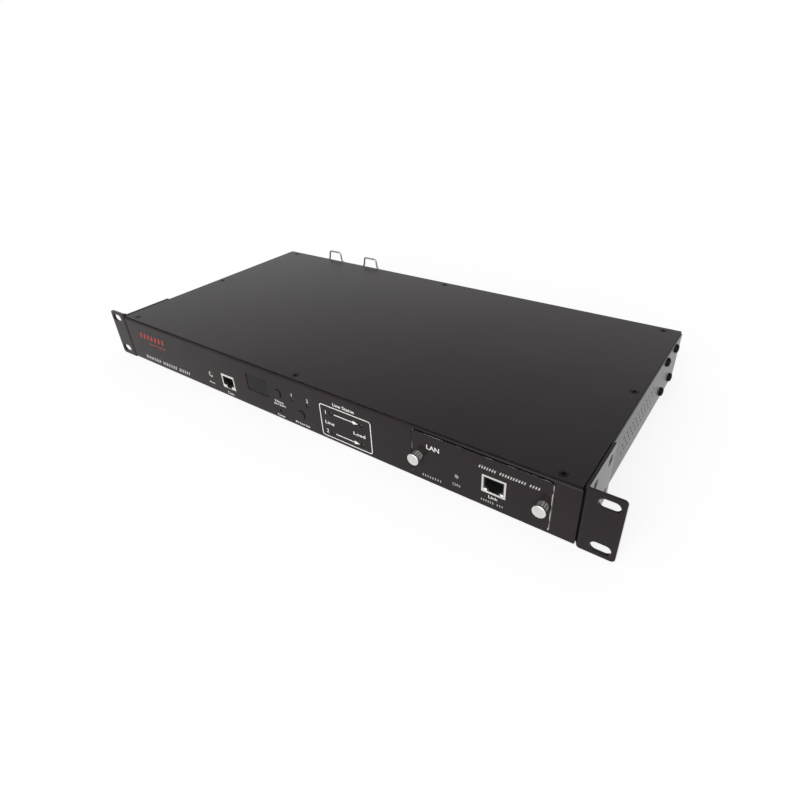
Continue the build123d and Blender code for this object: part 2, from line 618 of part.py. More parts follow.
def modular_jack(size, place, back, well):
    """A modular jack: a block with a stepped mouth for the plug and its latch."""
    body = upright(Pos(*place) * Rectangle(*size), FRONT, back)
    plug_bottom = PLUG_ABOVE_MIDDLE - PLUG_HEIGHT / 2
    latch_bottom = plug_bottom - LATCH_HEIGHT
    tip_bottom = latch_bottom - LATCH_TIP_HEIGHT
    half = [(PLUG_WIDTH / 2, PLUG_ABOVE_MIDDLE + PLUG_HEIGHT / 2), (PLUG_WIDTH / 2, plug_bottom),
            (LATCH_WIDTH / 2, plug_bottom), (LATCH_WIDTH / 2, latch_bottom),
            (LATCH_TIP_WIDTH / 2, latch_bottom), (LATCH_TIP_WIDTH / 2, tip_bottom)]
    outline = Polyline(*half, *[(-u, v) for u, v in reversed(half)], close=True)
    return body - upright(Pos(*place) * make_face(outline), FRONT - SHEET, FRONT + well)


def jack_contacts(place, well):
    """Sprung contacts that slope down from the roof of a jack's mouth."""
    x, z = place
    roof = z + PLUG_ABOVE_MIDDLE + PLUG_HEIGHT / 2
    start, end, low = FRONT + CONTACT_START, FRONT + well, roof - CONTACT_DROP
    strip = make_face(Polyline((start, roof), (end, roof), (end, low), (end - CONTACT_WIRE, low),
                               (start, roof - CONTACT_WIRE), close=True))
    first = x - CONTACT_PITCH * (CONTACT_COUNT - 1) / 2 - CONTACT_WIRE / 2
    lefts = [first + CONTACT_PITCH * i for i in range(CONTACT_COUNT)]
    return group(sideways(strip, left, left + CONTACT_WIRE) for left in lefts)


def sensor_jack():
    """A small round socket, open at the front, standing on the display board."""
    outer, inner = SENSOR_DIAMETER / 2, SENSOR_DIAMETER / 2 - SENSOR_WALL
    length = DISPLAY_BOARD_Y - FRONT - SENSOR_RECESS
    bore = [(inner, length), (inner, SENSOR_FLOOR), (0, SENSOR_FLOOR)]
    shell = turned([(0, 0), (outer, 0), (outer, length)] + bore)
    x, z = SENSOR_AT
    return facing_front(shell, x, DISPLAY_BOARD_Y, z)


def card_plate():
    """The card's front plate, flush in the bay, with holes for its jack, lamp and thumbscrews."""
    outline = Pos(CARD_X, CARD_MID) * RectangleRounded(CARD_WIDTH, CARD_HEIGHT, CARD_CORNER)
    outline -= Pos(*CARD_JACK_AT) * Rectangle(*grown((CARD_JACK_WIDTH, CARD_JACK_HEIGHT), SEAT_GAP))
    outline -= Pos(*CARD_LED_AT) * Circle(LED_DIAMETER / 2 + SEAT_GAP)
    for s in (-1, 1):
        outline -= Pos(CARD_X + s * THUMBSCREW_X, CARD_MID) * Circle(THUMBSCREW_THREAD / 2 + RUNNING_GAP)
    return upright(outline, FRONT, INNER_FRONT)


def card_board():
    """The card's board with its edge connector's tongue."""
    board = Pos(CARD_X, INNER_FRONT + CARD_BOARD_LENGTH / 2) * Rectangle(CARD_BOARD_WIDTH, CARD_BOARD_LENGTH)
    tongue = Pos(CARD_X, CARD_BOARD_END + CARD_TONGUE_LENGTH / 2)
    board += tongue * Rectangle(CARD_TONGUE_WIDTH, CARD_TONGUE_LENGTH)
    return flat(board, CARD_BOARD_Z, CARD_BOARD_TOP)


def card_brackets():
    """Two small angles that hold the plate to the board."""
    foot, rise = INNER_FRONT + CARD_BRACKET_FOOT, CARD_BOARD_TOP + CARD_BRACKET_RISE
    inside = (INNER_FRONT + SHEET, CARD_BOARD_TOP + SHEET)
    outer = [(INNER_FRONT, rise), (INNER_FRONT, CARD_BOARD_TOP), (foot, CARD_BOARD_TOP)]
    angle = make_face(Polyline(*outer, (foot, inside[1]), inside, (inside[0], rise), close=True))
    edge = CARD_BOARD_WIDTH / 2
    lefts = (CARD_X - edge, CARD_X + edge - CARD_BRACKET_WIDTH)
    return group(sideways(angle, left, left + CARD_BRACKET_WIDTH) for left in lefts)


def card_led():
    """A right-angle lamp: its lens in the plate and its block on the board."""
    x, z = CARD_LED_AT
    radius = LED_DIAMETER / 2
    lens = upright(Pos(x, z) * Circle(radius), FRONT + LED_RECESS, INNER_FRONT)
    back = INNER_FRONT + CARD_LED_LENGTH
    return lens + block(x - radius, x + radius, INNER_FRONT, back, CARD_BOARD_TOP, z + radius)


def card_chips():
    """The card's processor, memory and network transformer."""
    pieces = []
    for dx, dy, width, depth, rise in CARD_CHIP_SIZES:
        outline = Pos(CARD_X + dx, INNER_FRONT + dy) * Rectangle(width, depth)
        pieces.append(flat(outline, CARD_BOARD_TOP, CARD_BOARD_TOP + rise))
    return group(pieces)


def thumbscrew(side):
    """A captive screw: a plain face on a ribbed grip and collar, and a thread into the card guide."""
    tip = THUMBSCREW_GRIP / 2
    base = RUNNING_GAP + THUMBSCREW_COLLAR_LENGTH
    face_back = THUMBSCREW_PROUD - THUMBSCREW_FACE_SHEET
    ribs = Circle(tip)
    groove = Pos(tip, 0) * Rot(0, 0, 45) * Rectangle(2 * KNURL_DEPTH, 2 * KNURL_DEPTH)
    ribs -= [place * groove for place in PolarLocations(0, KNURL_COUNT)]
    face = flat(Circle(THUMBSCREW_FACE / 2), face_back, THUMBSCREW_PROUD)
    face = chamfer(face.edges().sort_by(Axis.Z)[-1], THUMBSCREW_FACE_EDGE)
    head = face + flat(ribs, base, face_back)
    head += flat(Circle(THUMBSCREW_COLLAR / 2), RUNNING_GAP, base)
    head += flat(Circle(THUMBSCREW_THREAD / 2), -THUMBSCREW_REACH, base)
    return facing_front(head, CARD_X + side * THUMBSCREW_X, FRONT, CARD_MID)


def right_card_guide():
    """A folded guide: flange behind the wall with the screw's thread, web, and ledge under the board."""
    end = CARD_BOARD_END + GUIDE_PAST_BOARD
    middle = Pos((INNER_FRONT + end) / 2, (SHEET + CARD_TOP) / 2)
    web = middle * Rectangle(end - INNER_FRONT, CARD_TOP - SHEET)
    toe = web.vertices().sort_by_distance((INNER_FRONT, SHEET, 0))[0]
    web = chamfer(toe, BEND_INSIDE)
    guide = sideways(web, GUIDE_INNER, GUIDE_OUTER)
    ledge_top = CARD_BOARD_Z - RUNNING_GAP
    guide += block(GUIDE_OUTER - GUIDE_LEDGE, GUIDE_OUTER, INNER_FRONT, end, ledge_top - SHEET, ledge_top)
    outer = CARD_WIDTH / 2 + CARD_GAP + GUIDE_WALL_LAP
    flange_height = CARD_HEIGHT - 2 * BEND_INSIDE
    flange = Pos((GUIDE_INNER + outer) / 2, CARD_MID) * Rectangle(outer - GUIDE_INNER, flange_height)
    flange -= Pos(THUMBSCREW_X, CARD_MID) * Circle(THUMBSCREW_THREAD / 2 + SEAT_GAP)
    return guide + upright(flange, INNER_FRONT, INNER_FRONT + SHEET)


def card_socket():
    """The slot connector on the main board that takes the card's tongue."""
    half = CARD_TONGUE_WIDTH / 2 + RUNNING_GAP
    outer = half + SOCKET_WALL
    body = block(CARD_X - outer, CARD_X + outer, MAIN_BOARD_FRONT, CARD_TONGUE_END + SOCKET_WALL,
                 MAIN_BOARD_TOP, CARD_BOARD_TOP + SOCKET_LIP)
    return body - block(CARD_X - half, CARD_X + half, MAIN_BOARD_FRONT - SHEET, CARD_TONGUE_END + RUNNING_GAP,
                        CARD_BOARD_Z - RUNNING_GAP, CARD_BOARD_TOP + RUNNING_GAP)


def board_screw_places():
    """(X, Y) of the main board's pillars and screws."""
    half_x = MAIN_BOARD_WIDTH / 2 - BOARD_SCREW_INSET
    half_y = MAIN_BOARD_DEPTH / 2 - BOARD_SCREW_INSET
    return [(x, MAIN_BOARD_MID + s * half_y) for x in (-half_x, 0.0, half_x) for s in (-1, 1)]


def main_board():
    outline = Pos(0, MAIN_BOARD_MID) * RectangleRounded(MAIN_BOARD_WIDTH, MAIN_BOARD_DEPTH, BOARD_CORNER)
    outline -= [Pos(*place) * Circle(BOARD_SCREW_SHANK / 2 + SEAT_GAP) for place in board_screw_places()]
    return flat(outline, MAIN_BOARD_Z, MAIN_BOARD_TOP)


def board_standoffs():
    """Threaded pillars between the chassis floor and the main board."""
    pillar = RegularPolygon(STANDOFF_ACROSS / 2, 6, major_radius=False)
    pillar -= Circle(BOARD_SCREW_SHANK / 2 + SEAT_GAP)
    return group(flat(Pos(*place) * pillar, SHEET, MAIN_BOARD_Z) for place in board_screw_places())


def board_screws():
    screw = pan_head(BOARD_SCREW_HEAD, BOARD_SCREW_SHANK, BOARD_SCREW_RISE, BOARD_SCREW_REACH)
    return group(Pos(x, y, MAIN_BOARD_TOP) * screw for x, y in board_screw_places())


def transfer_relays():
    """Sealed power relays that pick the live input."""
    outline = RectangleRounded(RELAY_WIDTH, RELAY_DEPTH, RELAY_EDGE)
    relay = flat(outline, MAIN_BOARD_TOP, MAIN_BOARD_TOP + RELAY_HEIGHT)
    relay = chamfer(relay.faces().sort_by(Axis.Z)[-1].edges(), RELAY_EDGE / 2)
    return group(Pos(x, MAIN_BOARD_MID, 0) * relay for x in RELAY_PLACES)


def supply_transformer(x):
    """A small mains transformer: a three-legged laminated core with its winding round the middle leg."""
    leg, half, rise = TRANSFORMER_LEG, TRANSFORMER_STACK / 2, TRANSFORMER_HEIGHT
    window, middle_leg = TRANSFORMER_WINDOW, TRANSFORMER_MIDDLE_LEG
    core = Pos(0, rise / 2) * Rectangle(TRANSFORMER_WIDTH, rise)
    for s in (-1, 1):
        core -= Pos(s * (middle_leg + window) / 2, rise / 2) * Rectangle(window, rise - 2 * leg)
    winding = RectangleRounded(middle_leg + 2 * window, 2 * (half + window), TRANSFORMER_WINDING_CORNER)
    transformer = upright(core, -half, half) + flat(winding, leg, rise - leg)
    return Pos(x, MAIN_BOARD_MID, MAIN_BOARD_TOP) * transformer


def filter_capacitors():
    """Upright electrolytic cans with a rolled groove near the foot."""
    radius, low, top = CAPACITOR_DIAMETER / 2, CAPACITOR_GROOVE_AT, CAPACITOR_HEIGHT
    neck = radius - CAPACITOR_GROOVE
    foot = [(0, 0), (radius, 0), (radius, low), (neck, low + CAPACITOR_GROOVE)]
    crown = [(radius, top - CAPACITOR_GROOVE), (neck, top), (0, top)]
    can = turned(foot + [(radius, low + 2 * CAPACITOR_GROOVE)] + crown)
    y = MAIN_BOARD_MID + CAPACITOR_BEHIND_MIDDLE
    return group(Pos(x, y, MAIN_BOARD_TOP) * can for x in CAPACITOR_PLACES)


def blade_outlines(x, gap):
    """The three blades of a connector at x, with a gap round each."""
    blade = Rectangle(*grown((BLADE_WIDTH, BLADE_HEIGHT), gap))
    return [Pos(x + dx, MID_HEIGHT + dz) * blade for dx, dz in POLES]


def mains_inlet(x):
    """A snap-in inlet: bezel with pivot lugs, body, and a shaped well with slots for the blades."""
    centre = Pos(x, MID_HEIGHT)
    floor = INLET_FACE - INLET_WELL_DEPTH
    back = REAR - INLET_BODY_DEPTH
    inlet = upright(centre * RectangleRounded(*INLET_BEZEL, BEZEL_CORNER), REAR, INLET_FACE)
    inlet += upright(centre * Rectangle(*INLET_BODY), back, REAR)
    inlet -= upright(centre * mains_outline(INLET_WELL), floor, INLET_FACE + SHEET)
    for slot in blade_outlines(x, SEAT_GAP):
        inlet -= upright(slot, back - SHEET, floor + SHEET)
    pivot = Pos(PIVOT_Y, MID_HEIGHT)
    lug = pivot * Circle(LUG_HEIGHT / 2)
    lug += Pos((INLET_FACE + PIVOT_Y) / 2, MID_HEIGHT) * Rectangle(LUG_PIVOT, LUG_HEIGHT)
    lug &= Pos(INLET_FACE + LUG_HEIGHT, MID_HEIGHT) * Rectangle(2 * LUG_HEIGHT, LUG_HEIGHT)
    lug -= pivot * Circle(WIRE_DIAMETER / 2 + PIVOT_GAP)
    for left in (x - LUG_OUTER, x + LUG_OUTER - LUG_SHEET):
        inlet += sideways(lug, left, left + LUG_SHEET)
    return inlet


def inlet_blades():
    """Three flat blades in each inlet, running through to solder tails inside."""
    tip = INLET_FACE - BLADE_TIP_RECESS
    return group(upright(blade, INLET_TAIL, tip) for x in INLET_PLACES for blade in blade_outlines(x, 0.0))


def inlet_bail(x):
    """A wire bail that stands up from its lugs and swings down over the plug."""
    pin = LUG_OUTER - LUG_SHEET - BAIL_PIN_PAST_LUG
    half = [(pin, 0.0), (BAIL_HALF, 0.0), (BAIL_HALF, BAIL_SHOULDER),
            (BAIL_NECK_HALF, BAIL_LENGTH - BAIL_TIP_RUN), (BAIL_TIP_HALF, BAIL_LENGTH)]
    route = [(-u, v) for u, v in half] + [(u, v) for u, v in reversed(half)]
    bends = [WIRE_DIAMETER / 2 + BAIL_PIN_BEND, BAIL_SHOULDER_BEND, BAIL_NECK_BEND, BAIL_TIP_BEND]
    line = FilletPolyline(*[(x + u, PIVOT_Y, MID_HEIGHT + v) for u, v in route], radius=bends + bends[::-1])
    start = Plane(origin=line @ 0, z_dir=line % 0)
    return sweep(start * Circle(WIRE_DIAMETER / 2), path=line)


def mains_outlet(x):
    """A snap-in outlet: bezel, body, and a well round a core with three contact slots."""
    centre = Pos(x, MID_HEIGHT)
    face = REAR + OUTLET_PROUD
    outlet = upright(centre * RectangleRounded(*OUTLET_BEZEL, BEZEL_CORNER), REAR, face)
    outlet += upright(centre * Rectangle(*OUTLET_BODY), REAR - OUTLET_DEPTH, REAR)
    moat = mains_outline(OUTLET_WELL) - mains_outline((MAINS_CORE_WIDTH, MAINS_CORE_HEIGHT))
    outlet -= upright(centre * moat, face - OUTLET_WELL_DEPTH, face + SHEET)
    for slot in blade_outlines(x, BLADE_SLOT_FIT):
        outlet -= upright(slot, face - OUTLET_SLOT_DEPTH, face + SHEET)
    return outlet


def bus_height(pole):
    """Height of a pole's bus bar: the three bars lie one above the other."""
    return MID_HEIGHT + (pole - 1) * BUS_SPACING


def outlet_tabs():
    """Solder tabs on the back of each outlet, one for each pole."""
    tab = Rectangle(TAB_SHEET, TAB_HEIGHT)
    places = [(x + dx, bus_height(i)) for x in OUTLET_PLACES for i, (dx, dz) in enumerate(POLES)]
    return group(upright(Pos(*place) * tab, BUS_Y, REAR - OUTLET_DEPTH) for place in places)


def bus_bars():
    """Copper bars that join like tabs of every outlet."""
    left, right = OUTLET_PLACES[0] - OUTLET_PITCH / 2, OUTLET_PLACES[-1] + OUTLET_PITCH / 2
    middle = (left + right) / 2
    bar = Rectangle(right - left, BUS_HEIGHT)
    heights = [bus_height(i) for i in range(len(POLES))]
    return group(upright(Pos(middle, z) * bar, BUS_Y - BUS_SHEET, BUS_Y) for z in heights)


def lead(x, y, z, landing):
    """A stiff wire that leaves a terminal towards the front and turns down onto the main board."""
    line = FilletPolyline((x, y, z), (x, landing, z), (x, landing, MAIN_BOARD_TOP), radius=LEAD_BEND)
    plane = Plane(origin=line @ 0, z_dir=line % 0)
    return sweep(plane * Circle(LEAD_DIAMETER / 2), path=line)


def power_leads():
    """Leads from the inlets' blades and from the bus bars to the main board."""
    landing = MAIN_BOARD_REAR - LEAD_INSET
    pieces = [lead(x + dx, INLET_TAIL, MID_HEIGHT + dz, landing) for x in INLET_PLACES for dx, dz in POLES]
    for i in range(len(POLES)):
        x = OUTLET_PLACES[0] + i * LEAD_PITCH
        pieces.append(lead(x, BUS_Y - BUS_SHEET, bus_height(i), landing))
    return group(pieces)


def chassis_nodes():
    ear = right_ear()
    guide = right_card_guide()
    return {
        "chassis_tray": chassis_tray(),
        "top_cover": top_cover(),
        "lid_screws": lid_screws(),
        "left_ear": mirror(ear, about=Plane.YZ),
        "right_ear": ear,
        "ear_screws": ear_screws(),
        "side_screws": side_screws(),
        "left_card_guide": Pos(CARD_X, 0, 0) * mirror(guide, about=Plane.YZ),
        "right_card_guide": Pos(CARD_X, 0, 0) * guide,
    }


def front_nodes():
    jack = (SERIAL_JACK_WIDTH, SERIAL_JACK_HEIGHT)
    well = DISPLAY_BOARD_Y - FRONT - JACK_BACK
    return {
        "display_window": display_window(),
        "display_module": display_module(),
        "display_board": display_board(),
        "display_standoffs": display_standoffs(),
        "tact_switches": tact_switches(),
        "select_button": push_button(SELECT_AT),
        "preference_button": push_button(PREFERENCE_AT),
        "reset_plunger": reset_plunger(),
        "status_leds": status_leds(),
        "serial_jack": modular_jack(jack, SERIAL_JACK_AT, DISPLAY_BOARD_Y, well),
        "serial_jack_contacts": jack_contacts(SERIAL_JACK_AT, well),
        "sensor_jack": sensor_jack(),
    }


def card_nodes():
    jack = (CARD_JACK_WIDTH, CARD_JACK_HEIGHT)
    return {
        "card_plate": card_plate(),
        "card_board": card_board(),
        "card_brackets": card_brackets(),
        "card_jack": modular_jack(jack, CARD_JACK_AT, FRONT + CARD_JACK_LENGTH, CARD_JACK_WELL),
        "card_jack_contacts": jack_contacts(CARD_JACK_AT, CARD_JACK_WELL),
        "card_led": card_led(),
        "card_chips": card_chips(),
        "left_thumbscrew": thumbscrew(-1),
        "right_thumbscrew": thumbscrew(1),
        "card_socket": card_socket(),
    }


def board_nodes():
    return {
        "main_board": main_board(),
        "board_standoffs": board_standoffs(),
        "board_screws": board_screws(),
        "transfer_relays": transfer_relays(),
        "supply_transformer_a": supply_transformer(TRANSFORMER_PLACES[0]),
        "supply_transformer_b": supply_transformer(TRANSFORMER_PLACES[1]),
        "filter_capacitors": filter_capacitors(),
    }


def rear_nodes():
    nodes = {
        "inlet_blades": inlet_blades(),
        "outlet_tabs": outlet_tabs(),
        "bus_bars": bus_bars(),
        "power_leads": power_leads(),
    }
    for letter, x in zip("ab", INLET_PLACES):
        nodes[f"inlet_{letter}"] = mains_inlet(x)
        nodes[f"inlet_{letter}_bail"] = inlet_bail(x)
    for i, x in enumerate(OUTLET_PLACES):
        nodes[f"outlet_{i + 1}"] = mains_outlet(x)
    return nodes


os.makedirs("parts", exist_ok=True)
for make_nodes in (chassis_nodes, front_nodes, card_nodes, board_nodes, rear_nodes):
    for name, shape in make_nodes().items():
        export_step(shape, f"parts/{name}.step")
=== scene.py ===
"""Looks of a rack transfer switch: finishes, fasteners, sockets, panel print and a stage."""
import json
import math

import bmesh
import bpy
from bpy.props import FloatProperty, FloatVectorProperty, IntProperty, PointerProperty
from mathutils import Matrix, Vector

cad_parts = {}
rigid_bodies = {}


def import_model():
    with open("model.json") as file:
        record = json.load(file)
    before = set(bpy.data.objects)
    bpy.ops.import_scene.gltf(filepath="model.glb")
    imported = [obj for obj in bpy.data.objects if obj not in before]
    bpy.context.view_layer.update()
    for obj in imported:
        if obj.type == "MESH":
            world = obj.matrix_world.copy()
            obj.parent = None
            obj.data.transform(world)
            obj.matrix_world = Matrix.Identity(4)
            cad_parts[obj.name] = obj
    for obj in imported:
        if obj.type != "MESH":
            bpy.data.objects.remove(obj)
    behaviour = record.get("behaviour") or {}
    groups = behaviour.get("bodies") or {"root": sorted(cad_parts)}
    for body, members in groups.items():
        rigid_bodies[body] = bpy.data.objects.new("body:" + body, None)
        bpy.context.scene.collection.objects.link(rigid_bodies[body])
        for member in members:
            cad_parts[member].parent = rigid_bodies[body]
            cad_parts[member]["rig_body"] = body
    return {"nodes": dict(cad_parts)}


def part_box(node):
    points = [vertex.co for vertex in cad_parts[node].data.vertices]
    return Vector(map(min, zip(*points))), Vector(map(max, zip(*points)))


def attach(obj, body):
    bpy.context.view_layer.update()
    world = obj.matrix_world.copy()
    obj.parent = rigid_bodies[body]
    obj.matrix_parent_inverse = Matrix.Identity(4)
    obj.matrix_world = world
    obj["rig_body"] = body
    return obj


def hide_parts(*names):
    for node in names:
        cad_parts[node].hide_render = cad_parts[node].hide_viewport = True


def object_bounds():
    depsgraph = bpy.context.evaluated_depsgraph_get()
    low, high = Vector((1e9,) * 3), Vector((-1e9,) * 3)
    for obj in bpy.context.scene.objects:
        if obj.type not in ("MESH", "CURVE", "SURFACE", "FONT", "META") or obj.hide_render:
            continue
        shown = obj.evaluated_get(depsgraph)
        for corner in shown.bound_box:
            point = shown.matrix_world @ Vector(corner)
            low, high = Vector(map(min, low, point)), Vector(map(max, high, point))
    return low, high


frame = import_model()
CAD_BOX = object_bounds()

bl_info = {
    "name": "Rack Transfer Switch Looks",
    "version": (1, 0, 0),
    "blender": (4, 5, 0),
    "location": "3D View > Sidebar > Rack Switch",
    "description": "Finishes, fasteners, sockets and panel print of a one-unit rack transfer switch",
    "category": "Object",
}

MM = 0.001
NODES = frame["nodes"]

# Places taken from the solids
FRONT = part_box("chassis_tray")[0].y
CARD_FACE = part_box("card_plate")[0].y

# Meshing: angles between faces, merging distance, steps of a rounded edge, and quarter turns
SMOOTH_ANGLE = math.radians(35.0)
FLAT_ANGLE = math.radians(0.5)
SHARP_ANGLE = math.radians(40.0)
MERGE = 0.002 * MM
EDGE_STEPS = 2
UPRIGHT = Matrix.Rotation(math.pi / 2, 4, "X")
SIDEWAYS = Matrix.Rotation(math.pi / 2, 4, "Y")

# Sheet edges with painted shade: least share of a face's normal that points out of the sheet's edge
EDGE_FACING = 0.6

# Powder coat: gloss, orange peel and clouding, in millimetres across and deep
COAT_IOR = 1.195
COAT_ROUGHNESS = (0.2, 0.28)
SMOOTH_COAT_ROUGHNESS = (0.08, 0.14)
PEEL, PEEL_DEPTH, PEEL_DETAIL = 1.1, 0.02, 2.0
PEEL_STRENGTH, SMOOTH_PEEL_STRENGTH = 0.35, 0.1
CLOUD = 60.0

# Wear and a painted highlight on the card's front edges: patches and reach in millimetres, and how much
# narrower level edges wear
WEAR_PATCH, WEAR_DETAIL, WEAR_REACH = 9.0, 4.0, 0.9
WEAR_FROM, WEAR_FULL = 0.45, 0.7
LEVEL_WEAR = 4.5

# Screws: facets, turns of their crosses, and how near to the top the rim's edges lie
HEAD_SIDES, DOME_STEPS = 40, 6
FIRST_TURN, NEXT_TURN = math.radians(11.0), math.radians(37.0)
HEAD_NEAR = 0.01 * MM

# Thumbscrews: facets, laps that sink one part in the next, how near to the top the flat face lies,
# and the share of a groove's depth below which its finish is black oxide, as painted shade in the grooves
FACE_SIDES, FACE_STEPS, THREAD_SIDES = 64, 4, 24
FACE_LAP, THREAD_LAP = 0.2 * MM, 0.1 * MM
FACE_NEAR = 0.05 * MM
GROOVE_SHADE_SHARE = 0.25

# Network socket: its light pipes' size, shift from the rim's lower corner and rounding,
# and the rim's rounding as a share of its height
PIPE_SIZE = (2.2 * MM, 0.8 * MM, 1.5 * MM)
PIPE_SHIFT = (1.3 * MM, 0.2 * MM, 0.9 * MM)
PIPE_EDGE, PIPE_STEPS = 0.25 * MM, 3
RIM_ROUNDING = 0.6

# Print: shares of a stroke's pitch, of a letter's size, of a bar's height and of an arrow's width
STROKE_SHARE, CAPITAL_SHARE, BAR_ROUNDING, ARROW_TIP = 0.42, 0.7, 0.2, 0.04
LETTER_SPREAD, LETTER_STEPS, BAR_STEPS, FRAME_STEPS = 0.012, 3, 3, 6
ARROW_STEP = 0.02 * MM
WORD_SHARE = 0.85

# Control labels: word, control, share of the small letters, and shift right, shift up and width in mm
CONTROL_LABELS = (
    ("Aux", "sensor_jack", 0.8, 0.0, -7.6, 7.5),
    ("Com", "serial_jack", 1.0, 0.0, -10.9, 8.0),
    ("Next", "select_button", 0.9, 0.2, -7.4, 9.5),
    ("screen", "select_button", 0.9, 0.4, -10.2, 12.5),
    ("Clear", "reset_plunger", 0.9, 0.0, -4.4, 8.6),
    ("Priority", "preference_button", 0.9, 0.0, -8.9, 15.0),
)
NUMBER_HEIGHT, NUMBER_RIGHT, NUMBER_UP = 2.9 * MM, 0.2 * MM, 4.1 * MM

# Flow diagram: its frame round the flow lamps, and its arrows between them
FRAME_LEFT, FRAME_RIGHT, FRAME_BELOW, FRAME_ABOVE = 10.4 * MM, 8.6 * MM, 4.7 * MM, 5.9 * MM
ARROW_START, ARROW_END = 3.2 * MM, 2.8 * MM
WORD_DROP = 0.4 * MM

# Lines of plain strokes: left, right, bottom and top in mm, strokes in each group, ink and lean
LEFT_INSET = 19.5 * MM
RED_STROKES = (0.0, 39.0, 25.8, 31.4, (7,), "red_ink", 0.25)
RED_RULE = (11.0, 37.0, 21.8, 22.5)
WHITE_STROKES = (-1.0, 67.0, 4.3, 8.1, (9, 8, 6), "white_ink", 0.3)
CARD_LEFT_STROKES = (8.0, 23.4, 4.6, 6.4, (8,), "grey_ink", 0.0)
CARD_JACK_STROKES = (-8.0, 7.6, 5.0, 6.7, (6, 3), "grey_ink", 0.0)
CARD_RIGHT_STROKES = (-46.4, -7.0, 29.6, 32.0, (7, 10, 4), "white_ink", 0.3)

# Stage
FLOOR_GAP = 0.1 * MM
LIGHT_FROM = (0.12, -0.93, 0.34)
SENSOR_WIDTH = 36.0
CLIP_START, CLIP_END = 0.01, 100.0
WHITE = (1.0, 1.0, 1.0, 1.0)


def linear(code):
    """The linear colour of an sRGB hex value."""
    parts = [int(code[i:i + 2], 16) / 255.0 for i in (1, 3, 5)]
    return [c / 12.92 if c <= 0.04045 else ((c + 0.055) / 1.055) ** 2.4 for c in parts]


def middle_of(box):
    low, high = box
    return (low + high) / 2


def centre_of(node):
    return middle_of(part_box(node))


def size_of(node):
    low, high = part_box(node)
    return high - low


# Settings

def colour_property(name, description, code):
    return FloatVectorProperty(name=name, description=description, default=linear(code), subtype="COLOR",
                               size=3, min=0.0, max=1.0)


def length_property(name, description, millimetres):
    return FloatProperty(name=name, description=description, subtype="DISTANCE", unit="LENGTH", precision=5,
                         default=millimetres * MM)


def share_property(name, description, share):
    return FloatProperty(name=name, description=description, default=share, subtype="FACTOR",
                         min=0.0, max=1.0)


def level_property(name, description, level):
    return FloatProperty(name=name, description=description, min=0.0, max=20.0, default=level)


def angle_property(name, description, degrees):
    return FloatProperty(name=name, description=description, subtype="ANGLE", default=math.radians(degrees))


class FinishSettings(bpy.types.PropertyGroup):
    """Colours of the unit's finishes."""

    paint: colour_property("Paint", "Black powder coat of the housing", "#292324")
    # Bare steel on the card plate's front edges: partly wear, partly a painted highlight
    bare_edge: colour_property("Bare edge", "Steel where the coat is rubbed off an edge", "#aeaca9")
    screw: colour_property("Screws", "Black oxide of the screws", "#0c0b0b")
    zinc: colour_property("Zinc", "Zinc plate on folded brackets and pillars", "#b9b7b0")
    nickel: colour_property("Nickel", "Nickel plate on the thumbscrews and the card's socket", "#dbd9d7")
    # Edge shade: near-black painted shade on the lid's front and side edges and the card plate's top edge,
    # for the shadow in the gaps there
    cut_edge: colour_property("Cut edge", "Thin dull coat on sheared edges", "#100d0e")
    wire: colour_property("Bail wire", "Spring steel of the bails", "#9a9894")
    smoke: colour_property("Window", "Smoked acrylic of the display window", "#1a191a")
    black_plastic: colour_property("Black plastic", "Moulded black plastic", "#1d1d1d")
    button_plastic: colour_property("Button plastic", "Moulded plastic of the push buttons", "#292324")
    ivory: colour_property("Ivory plastic", "Moulded ivory plastic of the plain sockets", "#cac6c0")
    lamp: colour_property("Lamp", "Unlit tinted lens of the status lamps", "#292626")
    card_lamp: colour_property("Card lamp", "Unlit diffused lens of the card's lamp", "#868483")
    light_pipe: colour_property("Light pipe", "Clear light pipes in the card's socket", "#f0f0e4")
    mask: colour_property("Solder mask", "Green coat of the circuit boards", "#155d36")
    gold: colour_property("Contacts", "Gold flash of the contacts", "#d8b25a")
    copper: colour_property("Copper", "Bare copper of the bus bars", "#b8734a")
    relay: colour_property("Relay", "Moulded case of the transfer relays", "#383e47")
    core: colour_property("Core", "Varnished sheets of the transformers", "#464441")
    sleeve: colour_property("Sleeve", "Sleeve of the filter capacitors", "#4a5a78")
    print_white: colour_property("White print", "Screen-printed white ink", "#f0eeec")
    print_grey: colour_property("Grey print", "Thin screen-printed ink of the small lines", "#aba8a5")
    print_red: colour_property("Red print", "Screen-printed red ink", "#a43229")


class ScrewSettings(bpy.types.PropertyGroup):
    """Sizes of the cross-recessed screws."""

    recess_share: share_property("Recess", "Width of the cross as a share of the head", 0.62)
    recess_depth: length_property("Recess depth", "Depth of the cross in a flat head", 1.5)
    shallow_recess: length_property("Shallow recess", "Depth of the cross in a domed head", 0.9)
    wing: length_property("Wing", "Thickness of the cross's wings", 1.2)
    taper: share_property("Taper", "Width left at the bottom of the cross", 0.6)
    land: length_property("Land", "Straight rim of a countersunk head", 0.25)
    shank_share: share_property("Shank", "Shank's share of the head's diameter", 0.5)
    cone: level_property("Cone", "Depth of a countersunk head against its step in radius", 0.75)
    dome: share_property("Dome", "Rounding of a domed head as a share of its height", 0.85)
    edge: length_property("Edge", "Rounding of a flat head's rim", 0.18)


